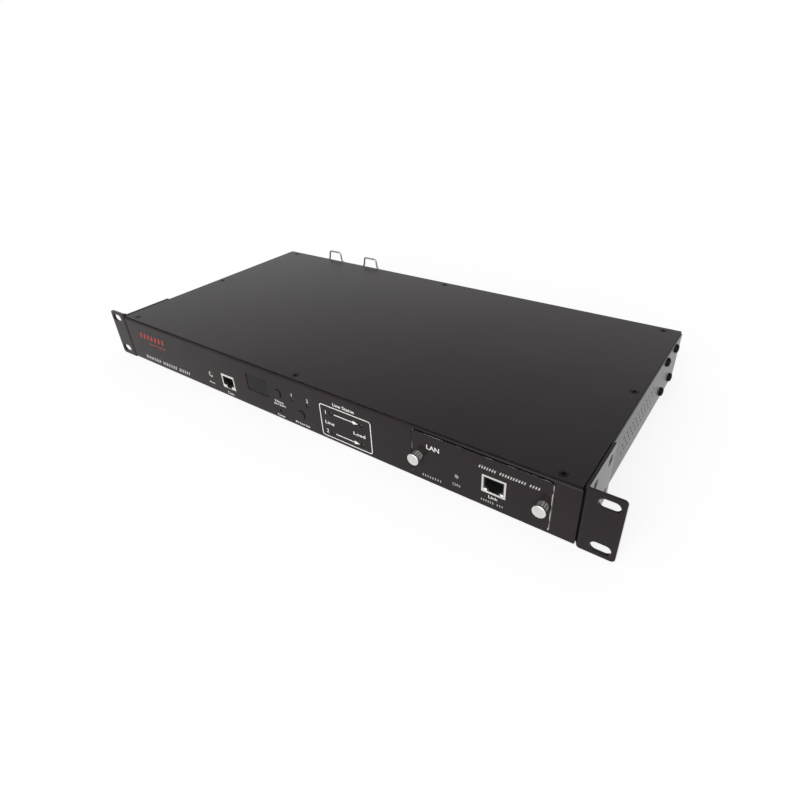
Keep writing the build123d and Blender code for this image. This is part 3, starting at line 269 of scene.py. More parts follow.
class ThumbscrewSettings(bpy.types.PropertyGroup):
    """Sizes of the knurled captive screws."""

    ribs: IntProperty(name="Ribs", description="Ribs round the body", default=18, min=12, max=60)
    rib_depth: length_property("Rib depth", "Depth of the grooves between ribs", 0.6)
    edge: length_property("Edge", "Rounding of the face's rim", 0.45)
    face: length_property("Face", "Thickness of the turned face", 1.3)
    face_land: length_property("Face land", "Flat ring round the face's dish", 0.5)
    dish_slope: length_property("Dish slope", "Width of the dish's sloped edge", 0.4)
    dish_depth: length_property("Dish depth", "Depth of the face's dish", 0.12)
    grip: length_property("Grip", "Diameter of the knurled body", 6.8)
    thread: length_property("Thread", "Diameter of the thread", 3.0)
    reach: length_property("Reach", "Length of the thread behind the card's face", 8.9)
    thread_edge: length_property("Thread edge", "Chamfer at the thread's end", 0.5)


class PrintSettings(bpy.types.PropertyGroup):
    """Sizes of the panel print."""

    ink: length_property("Ink", "Height of the ink above the paint", 0.03)
    line: length_property("Line", "Width of the flow diagram's lines", 0.68)
    letter: length_property("Letters", "Height of the diagram's capitals", 3.2)
    small_letter: length_property("Small letters", "Height of the control labels' capitals", 2.1)
    card_letter: length_property("Card letters", "Height of the card's capitals", 3.5)
    corner: length_property("Corner", "Radius of the diagram's frame", 2.2)
    arrow_length: length_property("Arrow length", "Length of an arrow's head", 4.6)
    arrow_width: length_property("Arrow width", "Width of an arrow's head", 3.0)


class EdgeSettings(bpy.types.PropertyGroup):
    """Rounding that paint and moulding leave on hard edges."""

    sheet: length_property("Sheet edges", "Rounding of painted sheet edges", 0.28)
    moulded: length_property("Moulded edges", "Rounding of moulded plastic edges", 0.35)
    socket: length_property("Socket edges", "Rounding of a socket's rim", 0.2)


class SocketSettings(bpy.types.PropertyGroup):
    """Sizes of the small sockets' faces."""

    rim: length_property("Metal rim", "Width of the network socket's metal rim", 1.3)
    rim_proud: length_property("Rim height", "Height of that rim above the socket's face", 0.3)
    wall: length_property("Socket wall", "Least wall round a socket's mouth", 0.3)
    frame: length_property("Serial frame", "Frame beside the serial jack's mouth", 1.2)
    mouth_top: length_property("Mouth top", "Frame above the serial jack's mouth", 2.1)
    mouth_bottom: length_property("Mouth bottom", "Frame below that mouth, beside the latch", 2.9)
    mouth_step: length_property("Mouth step", "Depth of the widened mouth", 1.6)
    latch: length_property("Latch", "Width of the latch's notch under the serial jack's mouth", 5.6)
    latch_frame: length_property("Latch frame", "Frame below the latch's notch", 0.5)
    # Behind the pale lip a socket's mouth is black, as painted shade
    serial_lip: length_property("Serial lip", "Depth of the pale lip in the serial jack's mouth", 0.2)
    sensor_lip: length_property("Sensor lip", "Depth of the pale lip in the sensor jack's mouth", 0.9)


class StageSettings(bpy.types.PropertyGroup):
    """The floor, the lights and the camera."""

    camera_place: FloatVectorProperty(name="Camera", description="Place of the camera",
                                      default=(0.27297, -0.33643, 0.24078), subtype="TRANSLATION",
                                      unit="LENGTH", precision=4)
    azimuth: angle_property("Azimuth", "Turn of the camera to the unit's right", 37.343)
    elevation: angle_property("Elevation", "Height of the camera above the horizon", 32.681)
    roll: angle_property("Roll", "Lean of the camera", -2.975)
    lens: FloatProperty(name="Lens", description="Focal length on a 36 mm frame", subtype="DISTANCE_CAMERA",
                        default=24.545)
    floor_size: length_property("Floor", "Side of the floor", 12000.0)
    floor_colour: colour_property("Floor colour", "Pale studio floor", "#fbfbfb")
    floor_glow: level_property("Floor glow", "Brightness of the floor's glow as it is seen", 1.17)
    floor_gloss: level_property("Floor gloss", "Brightness of the floor's glow in reflections", 1.17)
    glow_share: share_property("Glow share", "Glow's share of the floor, which is matt otherwise", 0.68)
    light_level: level_property("Front light", "Light on a face turned to the front light", 2.8)
    light_spread: angle_property("Light spread", "Angle that the front light fills", 60.0)
    fill_level: level_property("Fill light", "Light of the surround", 0.36)


class RackSwitchSettings(bpy.types.PropertyGroup):
    """Every setting of the unit, in groups."""

    finish: PointerProperty(type=FinishSettings)
    screws: PointerProperty(type=ScrewSettings)
    thumbscrews: PointerProperty(type=ThumbscrewSettings)
    print: PointerProperty(type=PrintSettings)
    edges: PointerProperty(type=EdgeSettings)
    sockets: PointerProperty(type=SocketSettings)
    stage: PointerProperty(type=StageSettings)


# Materials

def add_node(tree, kind, settings=(), links=()):
    """Add a shader node, set its sockets or attributes by name, and link sockets to its inputs."""
    node = tree.nodes.new(kind)
    for name, value in dict(settings).items():
        if isinstance(name, str) and hasattr(node, name):
            setattr(node, name, value)
        else:
            node.inputs[name].default_value = value
    for name, source in dict(links).items():
        tree.links.new(source, node.inputs[name])
    return node


def per_metre(millimetres):
    """Texture scale whose features are about this many millimetres across."""
    return 1.0 / (millimetres * MM)


def shaded(colour, *shares):
    """A darker or lighter colour for each share."""
    return [[min(1.0, c * share) for c in colour] for share in shares]


def start_material(name, colour, metallic, roughness, ior=1.5):
    """A new material with one shader, and the Object coordinates that its patterns read."""
    material = bpy.data.materials.new(name)
    material.use_nodes = True
    tree = material.node_tree
    shader = tree.nodes["Principled BSDF"]
    shader.inputs["Base Color"].default_value = (*colour, 1.0)
    shader.inputs["Metallic"].default_value = metallic
    shader.inputs["Roughness"].default_value = roughness
    shader.inputs["IOR"].default_value = ior
    place = add_node(tree, "ShaderNodeTexCoord").outputs["Object"]
    return material, tree, shader, place


def follow(tree, shader, tint, colours, stops=(0.3, 0.7), grit=None, roughness=None, relief=None):
    """Make a shader follow its patterns.

    The tint blends two colours between its stops. The grit spreads the roughness between two values,
    and raises a relief that is given by its depth in millimetres and its strength.
    """
    ramp = add_node(tree, "ShaderNodeValToRGB", {}, {"Fac": tint})
    for stop, position, colour in zip(ramp.color_ramp.elements, stops, colours):
        stop.position = position
        stop.color = (*colour, 1.0)
    tree.links.new(ramp.outputs["Color"], shader.inputs["Base Color"])
    if roughness:
        low, high = roughness
        spread = add_node(tree, "ShaderNodeMapRange", {"To Min": low, "To Max": high}, {"Value": grit})
        tree.links.new(spread.outputs["Result"], shader.inputs["Roughness"])
    if relief:
        depth, strength = relief
        bump = add_node(tree, "ShaderNodeBump", {"Strength": strength, "Distance": depth * MM},
                        {"Height": grit})
        tree.links.new(bump.outputs["Normal"], shader.inputs["Normal"])


def grained(name, colours, metallic, roughness, grain, ior=1.5, detail=3.0, relief=None, stretch=None):
    """A finish that follows one grain of a size in millimetres, stretched along an axis if asked."""
    material, tree, shader, place = start_material(name, colours[0], metallic, roughness[0], ior)
    if stretch:
        place = add_node(tree, "ShaderNodeMapping", {"Scale": stretch}, {"Vector": place}).outputs["Vector"]
    noise = add_node(tree, "ShaderNodeTexNoise", {"Scale": per_metre(grain), "Detail": detail},
                     {"Vector": place}).outputs["Fac"]
    follow(tree, shader, noise, colours, grit=noise, roughness=roughness, relief=relief)
    return material


def powder_coat(name, colour, roughness, strength):
    """Black semi-gloss powder coat on steel: a faint orange peel that breaks up the reflections."""
    material, tree, shader, place = start_material(name, colour, 0.0, roughness[0], COAT_IOR)
    peel, cloud = [add_node(tree, "ShaderNodeTexNoise", {"Scale": per_metre(size), "Detail": PEEL_DETAIL},
                            {"Vector": place}).outputs["Fac"] for size in (PEEL, CLOUD)]
    follow(tree, shader, cloud, shaded(colour, 0.9, 1.12), grit=peel, roughness=roughness,
           relief=(PEEL_DEPTH, strength))
    return material


def rubbed_coat(name, colour, bare, face_depth):
    """The same coat on the card's plate, with bare steel in patches along its front edges: partly wear,
    partly a painted highlight on the edges.
    """
    material, tree, shader, place = start_material(name, colour, 0.0, COAT_ROUGHNESS[0], COAT_IOR)
    centre, half = centre_of("card_plate"), size_of("card_plate") / 2
    axes = add_node(tree, "ShaderNodeSeparateXYZ", {}, {"Vector": place})
    insets = []
    for axis, middle, reach, share in (("X", centre.x, half.x, 1.0), ("Z", centre.z, half.z, LEVEL_WEAR)):
        shift = add_node(tree, "ShaderNodeMath", {"operation": "SUBTRACT", 1: middle},
                         {0: axes.outputs[axis]})
        away = add_node(tree, "ShaderNodeMath", {"operation": "ABSOLUTE"}, {0: shift.outputs["Value"]})
        inset = add_node(tree, "ShaderNodeMath", {"operation": "SUBTRACT", 0: reach},
                         {1: away.outputs["Value"]})
        insets.append(add_node(tree, "ShaderNodeMath", {"operation": "MULTIPLY", 1: share},
                               {0: inset.outputs["Value"]}).outputs["Value"])
    nearest = add_node(tree, "ShaderNodeMath", {"operation": "MINIMUM"}, {0: insets[0], 1: insets[1]})
    rub = add_node(tree, "ShaderNodeTexNoise", {"Scale": per_metre(WEAR_PATCH), "Detail": WEAR_DETAIL},
                   {"Vector": place})
    reach = add_node(tree, "ShaderNodeMapRange",
                     {"From Min": WEAR_FROM, "From Max": WEAR_FULL, "To Min": 0.0,
                      "To Max": WEAR_REACH * MM}, {"Value": rub.outputs["Fac"]})
    # Bare steel within the reach of an edge: wear, and a painted highlight along the edge
    rubbed = add_node(tree, "ShaderNodeMath", {"operation": "LESS_THAN"},
                      {0: nearest.outputs["Value"], 1: reach.outputs["Result"]})
    # The bare steel and its painted highlight stay on the plate's front, within the rounding's depth
    front = add_node(tree, "ShaderNodeMath", {"operation": "LESS_THAN", 1: CARD_FACE + face_depth},
                     {0: axes.outputs["Y"]})
    wear_and_highlight_mask = add_node(tree, "ShaderNodeMath", {"operation": "MULTIPLY"},
                    {0: rubbed.outputs["Value"], 1: front.outputs["Value"]})
    peel = add_node(tree, "ShaderNodeTexNoise", {"Scale": per_metre(PEEL), "Detail": PEEL_DETAIL},
                    {"Vector": place})
    follow(tree, shader, wear_and_highlight_mask.outputs["Value"], (colour, bare), (0.4, 0.6), peel.outputs["Fac"],
           COAT_ROUGHNESS, (PEEL_DEPTH, PEEL_STRENGTH))
    return material


def black_oxide(name, colour, roughness, ior):
    """Black oxide on screw steel: near-black, with an oily sheen that mottles."""
    return grained(name, shaded(colour, 0.7, 1.6), 0.0, roughness, 1.6, ior)


def sheared_edge(name, colour, paint):
    """Painted shade on sheet edges: darker and rougher than the flat sheet, a near-black finish that stands
    in for the shadow in the gaps.
    """
    return grained(name, (colour, paint), 0.0, (0.6, 0.8), 2.4, 1.07, detail=5.0)


def satin_knurl(name, colour):
    """Satin nickel on a pressed knurl: scattered light on the ribs."""
    return grained(name, shaded(colour, 0.55, 0.9), 0.35, (0.4, 0.55), 0.7)


def plated_metal(name, colour, roughness, streak):
    """Plated or drawn metal: bright, with faint long streaks from rolling or drawing."""
    return grained(name, shaded(colour, 0.88, 1.05), 1.0, roughness, streak, stretch=(1.0, 1.0, 0.08))


def moulded_plastic(name, colour, roughness, grit=0.7, ior=1.47):
    """Injection-moulded plastic: an even colour under a spark-eroded grain, drawn coarse enough to show."""
    return grained(name, shaded(colour, 0.92, 1.08), 0.0, roughness, grit, ior, relief=(0.015, 0.3))


def tinted_lens(name, colour, ior=1.49):
    """Tinted resin of a lamp or window: a glossy skin over a body with a slight haze."""
    return grained(name, shaded(colour, 0.9, 1.15), 0.0, (0.1, 0.2), 5.0, ior)


def screen_ink(name, colour):
    """Screen-printed ink: matt and slightly uneven in cover."""
    return grained(name, shaded(colour, 0.86, 1.04), 0.0, (0.5, 0.65), 0.9, 1.45)


def solder_mask(name, colour):
    """Green solder mask over copper: raised tracks in short right-angled runs."""
    material, tree, shader, place = start_material(name, colour, 0.0, 0.3)
    tracks = add_node(tree, "ShaderNodeTexBrick",
                      {"Color1": (0, 0, 0, 1), "Color2": (0.2, 0.2, 0.2, 1), "Mortar": WHITE,
                       "Scale": per_metre(12.0), "Mortar Size": 0.06, "Brick Width": 0.9,
                       "Row Height": 0.28}, {"Vector": place})
    follow(tree, shader, tracks.outputs["Color"], (colour, *shaded(colour, 1.7)), (0.2, 0.9),
           tracks.outputs["Fac"], relief=(0.05, 0.5))
    return material


def laminated_core(name, colour):
    """Stamped core sheets with a varnished winding: fine dark seams between the sheets."""
    material, tree, shader, place = start_material(name, colour, 0.4, 0.5)
    sheets = add_node(tree, "ShaderNodeTexWave", {"bands_direction": "Y", "Scale": per_metre(10.0),
                                                  "Distortion": 0.4}, {"Vector": place}).outputs["Fac"]
    follow(tree, shader, sheets, shaded(colour, 0.6, 1.3), grit=sheets, roughness=(0.4, 0.6))
    return material


MATERIALS = {}


def make_materials(settings):
    """Build each finish once, under the short name that the operators use."""
    f = settings.finish
    MATERIALS.update({
        "coat": powder_coat("powder_coated_steel", f.paint, COAT_ROUGHNESS, PEEL_STRENGTH),
        "smooth_coat": powder_coat("smooth_powder_coated_steel", f.paint, SMOOTH_COAT_ROUGHNESS,
                                   SMOOTH_PEEL_STRENGTH),
        # Wear and a painted highlight on the card plate's front edges
        "rubbed": rubbed_coat("powder_coated_steel_with_wear_and_painted_highlight", f.paint, f.bare_edge, settings.edges.sheet),
        # Painted shade for the shadow in the gaps at the lid's edges and above the card's plate
        "edge": sheared_edge("sheet_edge_painted_shade", f.cut_edge, f.paint),
        "screw": black_oxide("oiled_black_oxide_steel", f.screw, (0.3, 0.4), 1.17),
        "glossy_screw": black_oxide("glossy_black_oxide_steel", f.screw, (0.2, 0.3), 1.16),
        "zinc": plated_metal("zinc_plated_steel", f.zinc, (0.32, 0.45), 3.0),
        "nickel": plated_metal("nickel_plated_brass", f.nickel, (0.22, 0.34), 0.8),
        "knurl": satin_knurl("satin_nickel_knurl", f.nickel),
        "wire": plated_metal("drawn_spring_steel", f.wire, (0.28, 0.4), 1.0),
        "smoke": tinted_lens("smoked_acrylic", f.smoke, COAT_IOR),
        "lamp": tinted_lens("tinted_epoxy_lens", f.lamp),
        "card_lamp": tinted_lens("diffused_epoxy_lens", f.card_lamp),
        "light_pipe": tinted_lens("clear_light_pipe", f.light_pipe),
        "black": moulded_plastic("moulded_black_nylon", f.black_plastic, (0.38, 0.5)),
        "button": moulded_plastic("moulded_black_abs", f.button_plastic, (0.25, 0.35), ior=COAT_IOR),
        "ivory": moulded_plastic("moulded_ivory_pbt", f.ivory, (0.4, 0.5)),
        "lead": moulded_plastic("extruded_black_pvc", f.black_plastic, (0.45, 0.55), 2.0),
        "case": moulded_plastic("moulded_blue_grey_case", f.relay, (0.35, 0.45)),
        "board": solder_mask("solder_mask_board", f.mask),
        "gold": plated_metal("gold_flashed_bronze", f.gold, (0.2, 0.3), 0.6),
        "copper": plated_metal("rolled_copper", f.copper, (0.3, 0.45), 2.0),
        "core": laminated_core("varnished_laminations", f.core),
        "can": plated_metal("sleeved_aluminium_can", f.sleeve, (0.35, 0.5), 4.0),
        "white_ink": screen_ink("white_screen_ink", f.print_white),
        "grey_ink": screen_ink("grey_screen_ink", f.print_grey),
        "red_ink": screen_ink("red_screen_ink", f.print_red),
    })


# Modelling helpers

def pick_only(piece):
    """Make one object the only one selected, and the active one."""
    bpy.ops.object.select_all(action="DESELECT")
    piece.select_set(True)
    bpy.context.view_layer.objects.active = piece


def new_piece(name):
    """Name the object that was just made."""
    piece = bpy.context.object
    piece.name = name
    piece.data.name = name
    return piece


def edit(piece):
    """Start to edit a piece, with nothing selected."""
    pick_only(piece)
    bpy.ops.object.mode_set(mode="EDIT")
    bpy.ops.mesh.select_mode(type="FACE")
    bpy.ops.mesh.select_all(action="DESELECT")


def edit_all(piece):
    """Start to edit a piece, with all of it selected."""
    edit(piece)
    bpy.ops.mesh.select_all(action="SELECT")


def done():
    bpy.ops.object.mode_set(mode="OBJECT")


def select(piece, kind, test):
    """In edit mode, select only the faces or the edges that pass a test."""
    bpy.ops.mesh.select_mode(type=kind)
    mesh = bmesh.from_edit_mesh(piece.data)
    bpy.ops.mesh.select_all(action="DESELECT")
    for part in mesh.faces if kind == "FACE" else mesh.edges:
        part.select_set(test(part))
    bmesh.update_edit_mesh(piece.data)


def looks_down(face):
    """A test for faces that look straight down."""
    return face.normal.z < -0.9


def pull(distance):
    """In edit mode, extrude the selection up or down."""
    bpy.ops.mesh.extrude_region_move(TRANSFORM_OT_translate={"value": (0, 0, distance)})


def round_edges(offset, steps):
    """In edit mode, bevel the selected edges."""
    bpy.ops.mesh.bevel(offset=offset, segments=steps, affect="EDGES")


def apply_modifier(piece, kind, **settings):
    pick_only(piece)
    bpy.ops.object.modifier_add(type=kind)
    modifier = piece.modifiers[-1]
    for name, value in settings.items():
        setattr(modifier, name, value)
    bpy.ops.object.modifier_apply(modifier=modifier.name)


def apply_place(piece):
    """Apply the object's place, turn and scale to its mesh."""
    pick_only(piece)
    bpy.ops.object.transform_apply(location=True, rotation=True, scale=True)


def settle(piece):
    """Apply the object's place, and close and orient the surface."""
    apply_place(piece)
    edit_all(piece)
    bpy.ops.mesh.remove_doubles(threshold=MERGE)
    bpy.ops.mesh.normals_make_consistent(inside=False)
    done()


def smooth(piece):
    pick_only(piece)
    bpy.ops.object.shade_smooth_by_angle(angle=SMOOTH_ANGLE)


def round_bar(name, sides, radius, bottom, top):
    """A cylinder along Z between two heights, open for editing."""
    bpy.ops.mesh.primitive_cylinder_add(vertices=sides, radius=radius, depth=top - bottom,
                                        location=(0, 0, (bottom + top) / 2))
    piece = new_piece(name)
    settle(piece)
    edit(piece)
    return piece


def block(name, size, place=(0, 0, 0), turn=0.0):
    """A block of a given size, turned about Z and set in its place."""
    bpy.ops.mesh.primitive_cube_add(size=1.0, rotation=(0, 0, turn))
    piece = new_piece(name)
    piece.scale = size
    piece.location = place
    settle(piece)
    return piece


def flat_piece(name, width, height):
    """A flat rectangle round the origin, open for editing with all of it selected."""
    bpy.ops.mesh.primitive_plane_add(size=1.0)
    piece = new_piece(name)
    piece.scale = (width, height, 1.0)
    apply_place(piece)
    edit_all(piece)
    return piece


def thicken(piece, height):
    """Pull a flat piece up to a closed shape."""
    edit_all(piece)
    pull(height)
    bpy.ops.mesh.select_all(action="SELECT")
    bpy.ops.mesh.normals_make_consistent(inside=False)
    done()


def dress(piece, material, body, slot, *nodes):
    """Give a finished piece its material and body, and hide the solids that it stands for. The slot is not
    used.
    """
    if material:
        piece.data.materials.clear()
        piece.data.materials.append(MATERIALS[material])
    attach(piece, body)
    if nodes:
        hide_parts(*nodes)


def add_finish(piece, material, test):
    """Give the faces that pass a test one more finish."""
    piece.data.materials.append(MATERIALS[material])
    last = len(piece.data.materials) - 1
    for face in piece.data.polygons:
        if test(face):
            face.material_index = last


def join(pieces, name):
    """Join pieces into one object under one name."""
    pick_only(pieces[0])
    for piece in pieces[1:]:
        piece.select_set(True)
    bpy.ops.object.join()
    return new_piece(name)


def add_copy(source, name):
    """A copy of an object's mesh, as an object of its own."""
    piece = bpy.data.objects.new(name, source.data.copy())
    piece.data.name = name
    bpy.context.scene.collection.objects.link(piece)
    return piece


def combine(piece, tool, operation):
    """Cut a tool out of a piece or merge it in, and remove the tool."""
    apply_modifier(piece, "BOOLEAN", operation=operation, solver="EXACT", object=tool)
    bpy.data.objects.remove(tool)


def rounded_copy(node, name, width):
    """A copy of a solid with merged faces and rounded hard edges."""
    piece = add_copy(NODES[node], name)
    edit_all(piece)
    bpy.ops.mesh.customdata_custom_splitnormals_clear()
    bpy.ops.mesh.remove_doubles(threshold=MERGE)
    bpy.ops.mesh.dissolve_limited(angle_limit=FLAT_ANGLE)
    done()
    smooth(piece)
    apply_modifier(piece, "BEVEL", width=width, segments=EDGE_STEPS, limit_method="ANGLE",
                   angle_limit=SHARP_ANGLE, harden_normals=True)
    return piece


def paint_nodes(material, *nodes):
    """Give solids that keep their own shape a finish."""
    for node in nodes:
        NODES[node].data.materials.clear()
        NODES[node].data.materials.append(MATERIALS[material])


def body_of(node):
    return NODES[node]["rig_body"]


def islands(node):
    """Lowest and highest corner of each separate solid in a node, from left to right."""
    mesh = bmesh.new()
    mesh.from_mesh(NODES[node].data)
    bmesh.ops.remove_doubles(mesh, verts=mesh.verts, dist=MERGE)
    waiting, boxes = set(mesh.verts), []
    while waiting:
        front, found = [waiting.pop()], []
        while front:
            vertex = front.pop()
            found.append(vertex.co.copy())
            near = {e.other_vert(vertex) for e in vertex.link_edges} & waiting
            waiting -= near
            front.extend(near)
        low = Vector([min(co[i] for co in found) for i in range(3)])
        high = Vector([max(co[i] for co in found) for i in range(3)])
        boxes.append((low, high))
    mesh.free()
    return sorted(boxes, key=lambda box: (round(box[0].x, 4), round(box[0].y, 4), box[0].z))


# Operators

class UnitOperator(bpy.types.Operator):
    """Shared base of the unit's operators."""

    bl_options = {"REGISTER"}

    @property
    def settings(self):
        return bpy.context.scene.rack_switch


class RACKSWITCH_OT_finishes(UnitOperator):
    """Build the finishes and give them to the solids that keep their own shape"""

    bl_idname = "rack_switch.finishes"
    bl_label = "Finishes"

    def execute(self, context):
        make_materials(self.settings)
        paint_nodes("coat", "chassis_tray")
        paint_nodes("zinc", "left_card_guide", "right_card_guide", "display_standoffs", "card_brackets",
                    "board_standoffs", "board_screws")
        paint_nodes("smoke", "display_window")
        paint_nodes("lamp", "status_leds")
        paint_nodes("card_lamp", "card_led")
        paint_nodes("black", "display_module", "tact_switches", "reset_plunger", "card_chips",
                    "card_socket")
        paint_nodes("button", "select_button", "preference_button")
        paint_nodes("gold", "serial_jack_contacts", "card_jack_contacts", "inlet_blades", "outlet_tabs")
        paint_nodes("board", "display_board", "card_board", "main_board")
        paint_nodes("case", "transfer_relays")
        paint_nodes("core", "supply_transformer_a", "supply_transformer_b")
        paint_nodes("can", "filter_capacitors")
        paint_nodes("copper", "bus_bars")
        paint_nodes("lead", "power_leads")
        paint_nodes("wire", "inlet_a_bail", "inlet_b_bail")
        return {"FINISHED"}


class RACKSWITCH_OT_sheet_metal(UnitOperator):
    """Round the edges of the lid, the ears and the card's plate as their coat does"""

    bl_idname = "rack_switch.sheet_metal"
    bl_label = "Lid, Ears and Card Plate"

    def execute(self, context):
        # The lid's front and side edges and the card plate's top edge take near-black painted shade, for
        # the shadow in the gaps
        sheared = {
            "top_cover": lambda face: face.normal.y < -EDGE_FACING or abs(face.normal.x) > EDGE_FACING,
            "card_plate": lambda face: face.normal.z > EDGE_FACING,
        }
        # The card's plate takes a coat with wear and a painted highlight on its front edges
        for node, material in (("top_cover", "coat"), ("left_ear", "smooth_coat"),
                               ("right_ear", "smooth_coat"), ("card_plate", "rubbed")):
            piece = rounded_copy(node, f"{node}_coated", self.settings.edges.sheet)
            dress(piece, material, body_of(node), "black_paint", node)
            if node in sheared:
                add_finish(piece, "edge", sheared[node])
        return {"FINISHED"}


class RACKSWITCH_OT_screws(UnitOperator):
    """Model the cross-recessed screws of the lid, the ears and the sides"""

    bl_idname = "rack_switch.screws"
    bl_label = "Screws"

    def screw(self, name, radius, length, rise):
        """A screw whose head faces up at height 0; a rise above 0 makes a domed head."""
        settings = self.settings.screws
        shank = settings.shank_share
        step = radius * (1 - shank)
        depth = rise if rise else settings.land
        piece = round_bar(name, HEAD_SIDES, radius, -depth, 0.0)
        select(piece, "FACE", looks_down)
        if rise:
            bpy.ops.mesh.inset(thickness=step, depth=0.0)
        else:
            pull(-step * settings.cone)
            bpy.ops.transform.resize(value=(shank, shank, 1.0))
            depth += step * settings.cone
        pull(depth - length)
        select(piece, "EDGE", lambda e: all(v.co.z > -HEAD_NEAR for v in e.verts))
        if rise:
            round_edges(rise * settings.dome, DOME_STEPS)
        else:
            round_edges(settings.edge, EDGE_STEPS)
        done()
        recess = settings.shallow_recess if rise else settings.recess_depth
        combine(piece, self.cross(radius, recess), "DIFFERENCE")
        smooth(piece)
        return piece

    def cross(self, radius, depth):
        """The tool for a cross recess: two wings with tapered flanks, sunk below height 0."""
        settings = self.settings.screws
        wings = []
        for turn in (0.0, math.pi / 2):
            size = (2 * radius * settings.recess_share, settings.wing, 2 * depth)
            wing = block("recess_wing", size, turn=turn)
            edit(wing)
            select(wing, "FACE", looks_down)
            bpy.ops.transform.resize(value=(settings.taper, settings.taper, 1.0))
            done()
            wings.append(wing)
        combine(wings[0], wings[1], "UNION")
        return wings[0]

    def execute(self, context):
        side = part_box("chassis_tray")[1].x
        for node, material, domed in (("lid_screws", "screw", False), ("ear_screws", "screw", False),
                                      ("side_screws", "glossy_screw", True)):
            boxes = islands(node)
            span = boxes[0][1] - boxes[0][0]
            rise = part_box(node)[1].x - side if domed else 0.0
            pattern = self.screw(f"{node}_pattern", span.y / 2, max(span), rise)
            for number, (low, high) in enumerate(boxes):
                middle = (low + high) / 2
                if node == "lid_screws":
                    place = Matrix.Translation((middle.x, middle.y, high.z))
                elif middle.x > 0:
                    place = Matrix.Translation((high.x, middle.y, middle.z)) @ SIDEWAYS
                else:
                    place = Matrix.Translation((low.x, middle.y, middle.z)) @ SIDEWAYS.inverted()
                copy = add_copy(pattern, f"{node[:-1]}_{number + 1}")
                copy.data.transform(place @ Matrix.Rotation(FIRST_TURN + NEXT_TURN * number, 4, "Z"))
                dress(copy, material, body_of(node), "black_screw", node)
            bpy.data.objects.remove(pattern)
        return {"FINISHED"}


class RACKSWITCH_OT_thumbscrews(UnitOperator):
    """Model the card's knurled thumbscrews"""

    bl_idname = "rack_switch.thumbscrews"
    bl_label = "Thumbscrews"

    def ribbed_body(self, settings, length):
        """The knurled body along Z: every third facet is pressed in as a groove between ribs."""
        sides = 3 * settings.ribs
        body = round_bar("knurled_body", sides, settings.grip / 2, 0.0, length)
        step = 2 * math.pi / sides

        def in_groove(face):
            middle = face.calc_center_median()
            turn = math.atan2(middle.y, middle.x) % (2 * math.pi)
            return abs(face.normal.z) < 0.5 and int(turn / step) % 3 == 0

        select(body, "FACE", in_groove)
        bpy.ops.mesh.extrude_region_shrink_fatten(
            TRANSFORM_OT_shrink_fatten={"value": -settings.rib_depth})
        done()
        return body

    def face_disc(self, settings, radius, base, top):
        """The turned face: a disc with a rounded rim and a shallow dished middle."""
        disc = round_bar("turned_face", FACE_SIDES, radius, base, top)
        select(disc, "EDGE", lambda e: all(v.co.z > (top + base) / 2 for v in e.verts))
        round_edges(settings.edge, FACE_STEPS)
        select(disc, "FACE", lambda f: f.normal.z > 0.99 and f.calc_center_median().z > top - FACE_NEAR)
        bpy.ops.mesh.inset(thickness=settings.face_land, depth=0.0)
        bpy.ops.mesh.inset(thickness=settings.dish_slope, depth=-settings.dish_depth)
        done()
        return disc

    def thread(self, settings):
        """The plain thread behind the card's face, with a chamfered end."""
        thread = round_bar("screw_thread", THREAD_SIDES, settings.thread / 2, -settings.reach, THREAD_LAP)
        select(thread, "EDGE", lambda e: all(v.co.z < -settings.reach / 2 for v in e.verts))
        round_edges(settings.thread_edge, 1)
        done()
        return thread

    def execute(self, context):
        settings = self.settings.thumbscrews
        groove = settings.grip / 2 - GROOVE_SHADE_SHARE * settings.rib_depth
        for node in ("left_thumbscrew", "right_thumbscrew"):
            low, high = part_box(node)
            middle = (low + high) / 2
            proud = CARD_FACE - low.y
            base = proud - settings.face
            parts = [self.ribbed_body(settings, base + FACE_LAP),
                     self.face_disc(settings, (high.x - low.x) / 2, base, proud), self.thread(settings)]
            piece = join(parts, f"{node}_knurled")
            piece.data.transform(Matrix.Translation((middle.x, CARD_FACE, middle.z)) @ UPRIGHT)
            smooth(piece)
            dress(piece, "nickel", node, "bright_steel", node)
            axis = Vector((middle.x, middle.z))

            def behind_face(face):
                return face.center.y > CARD_FACE - base

            # Faces deep in the grooves, which take painted shade
            def in_groove(face):
                return behind_face(face) and (face.center.xz - axis).length < groove

            add_finish(piece, "knurl", behind_face)
            # Black oxide deep in the grooves: painted shade between the ribs
            add_finish(piece, "screw", in_groove)
        return {"FINISHED"}


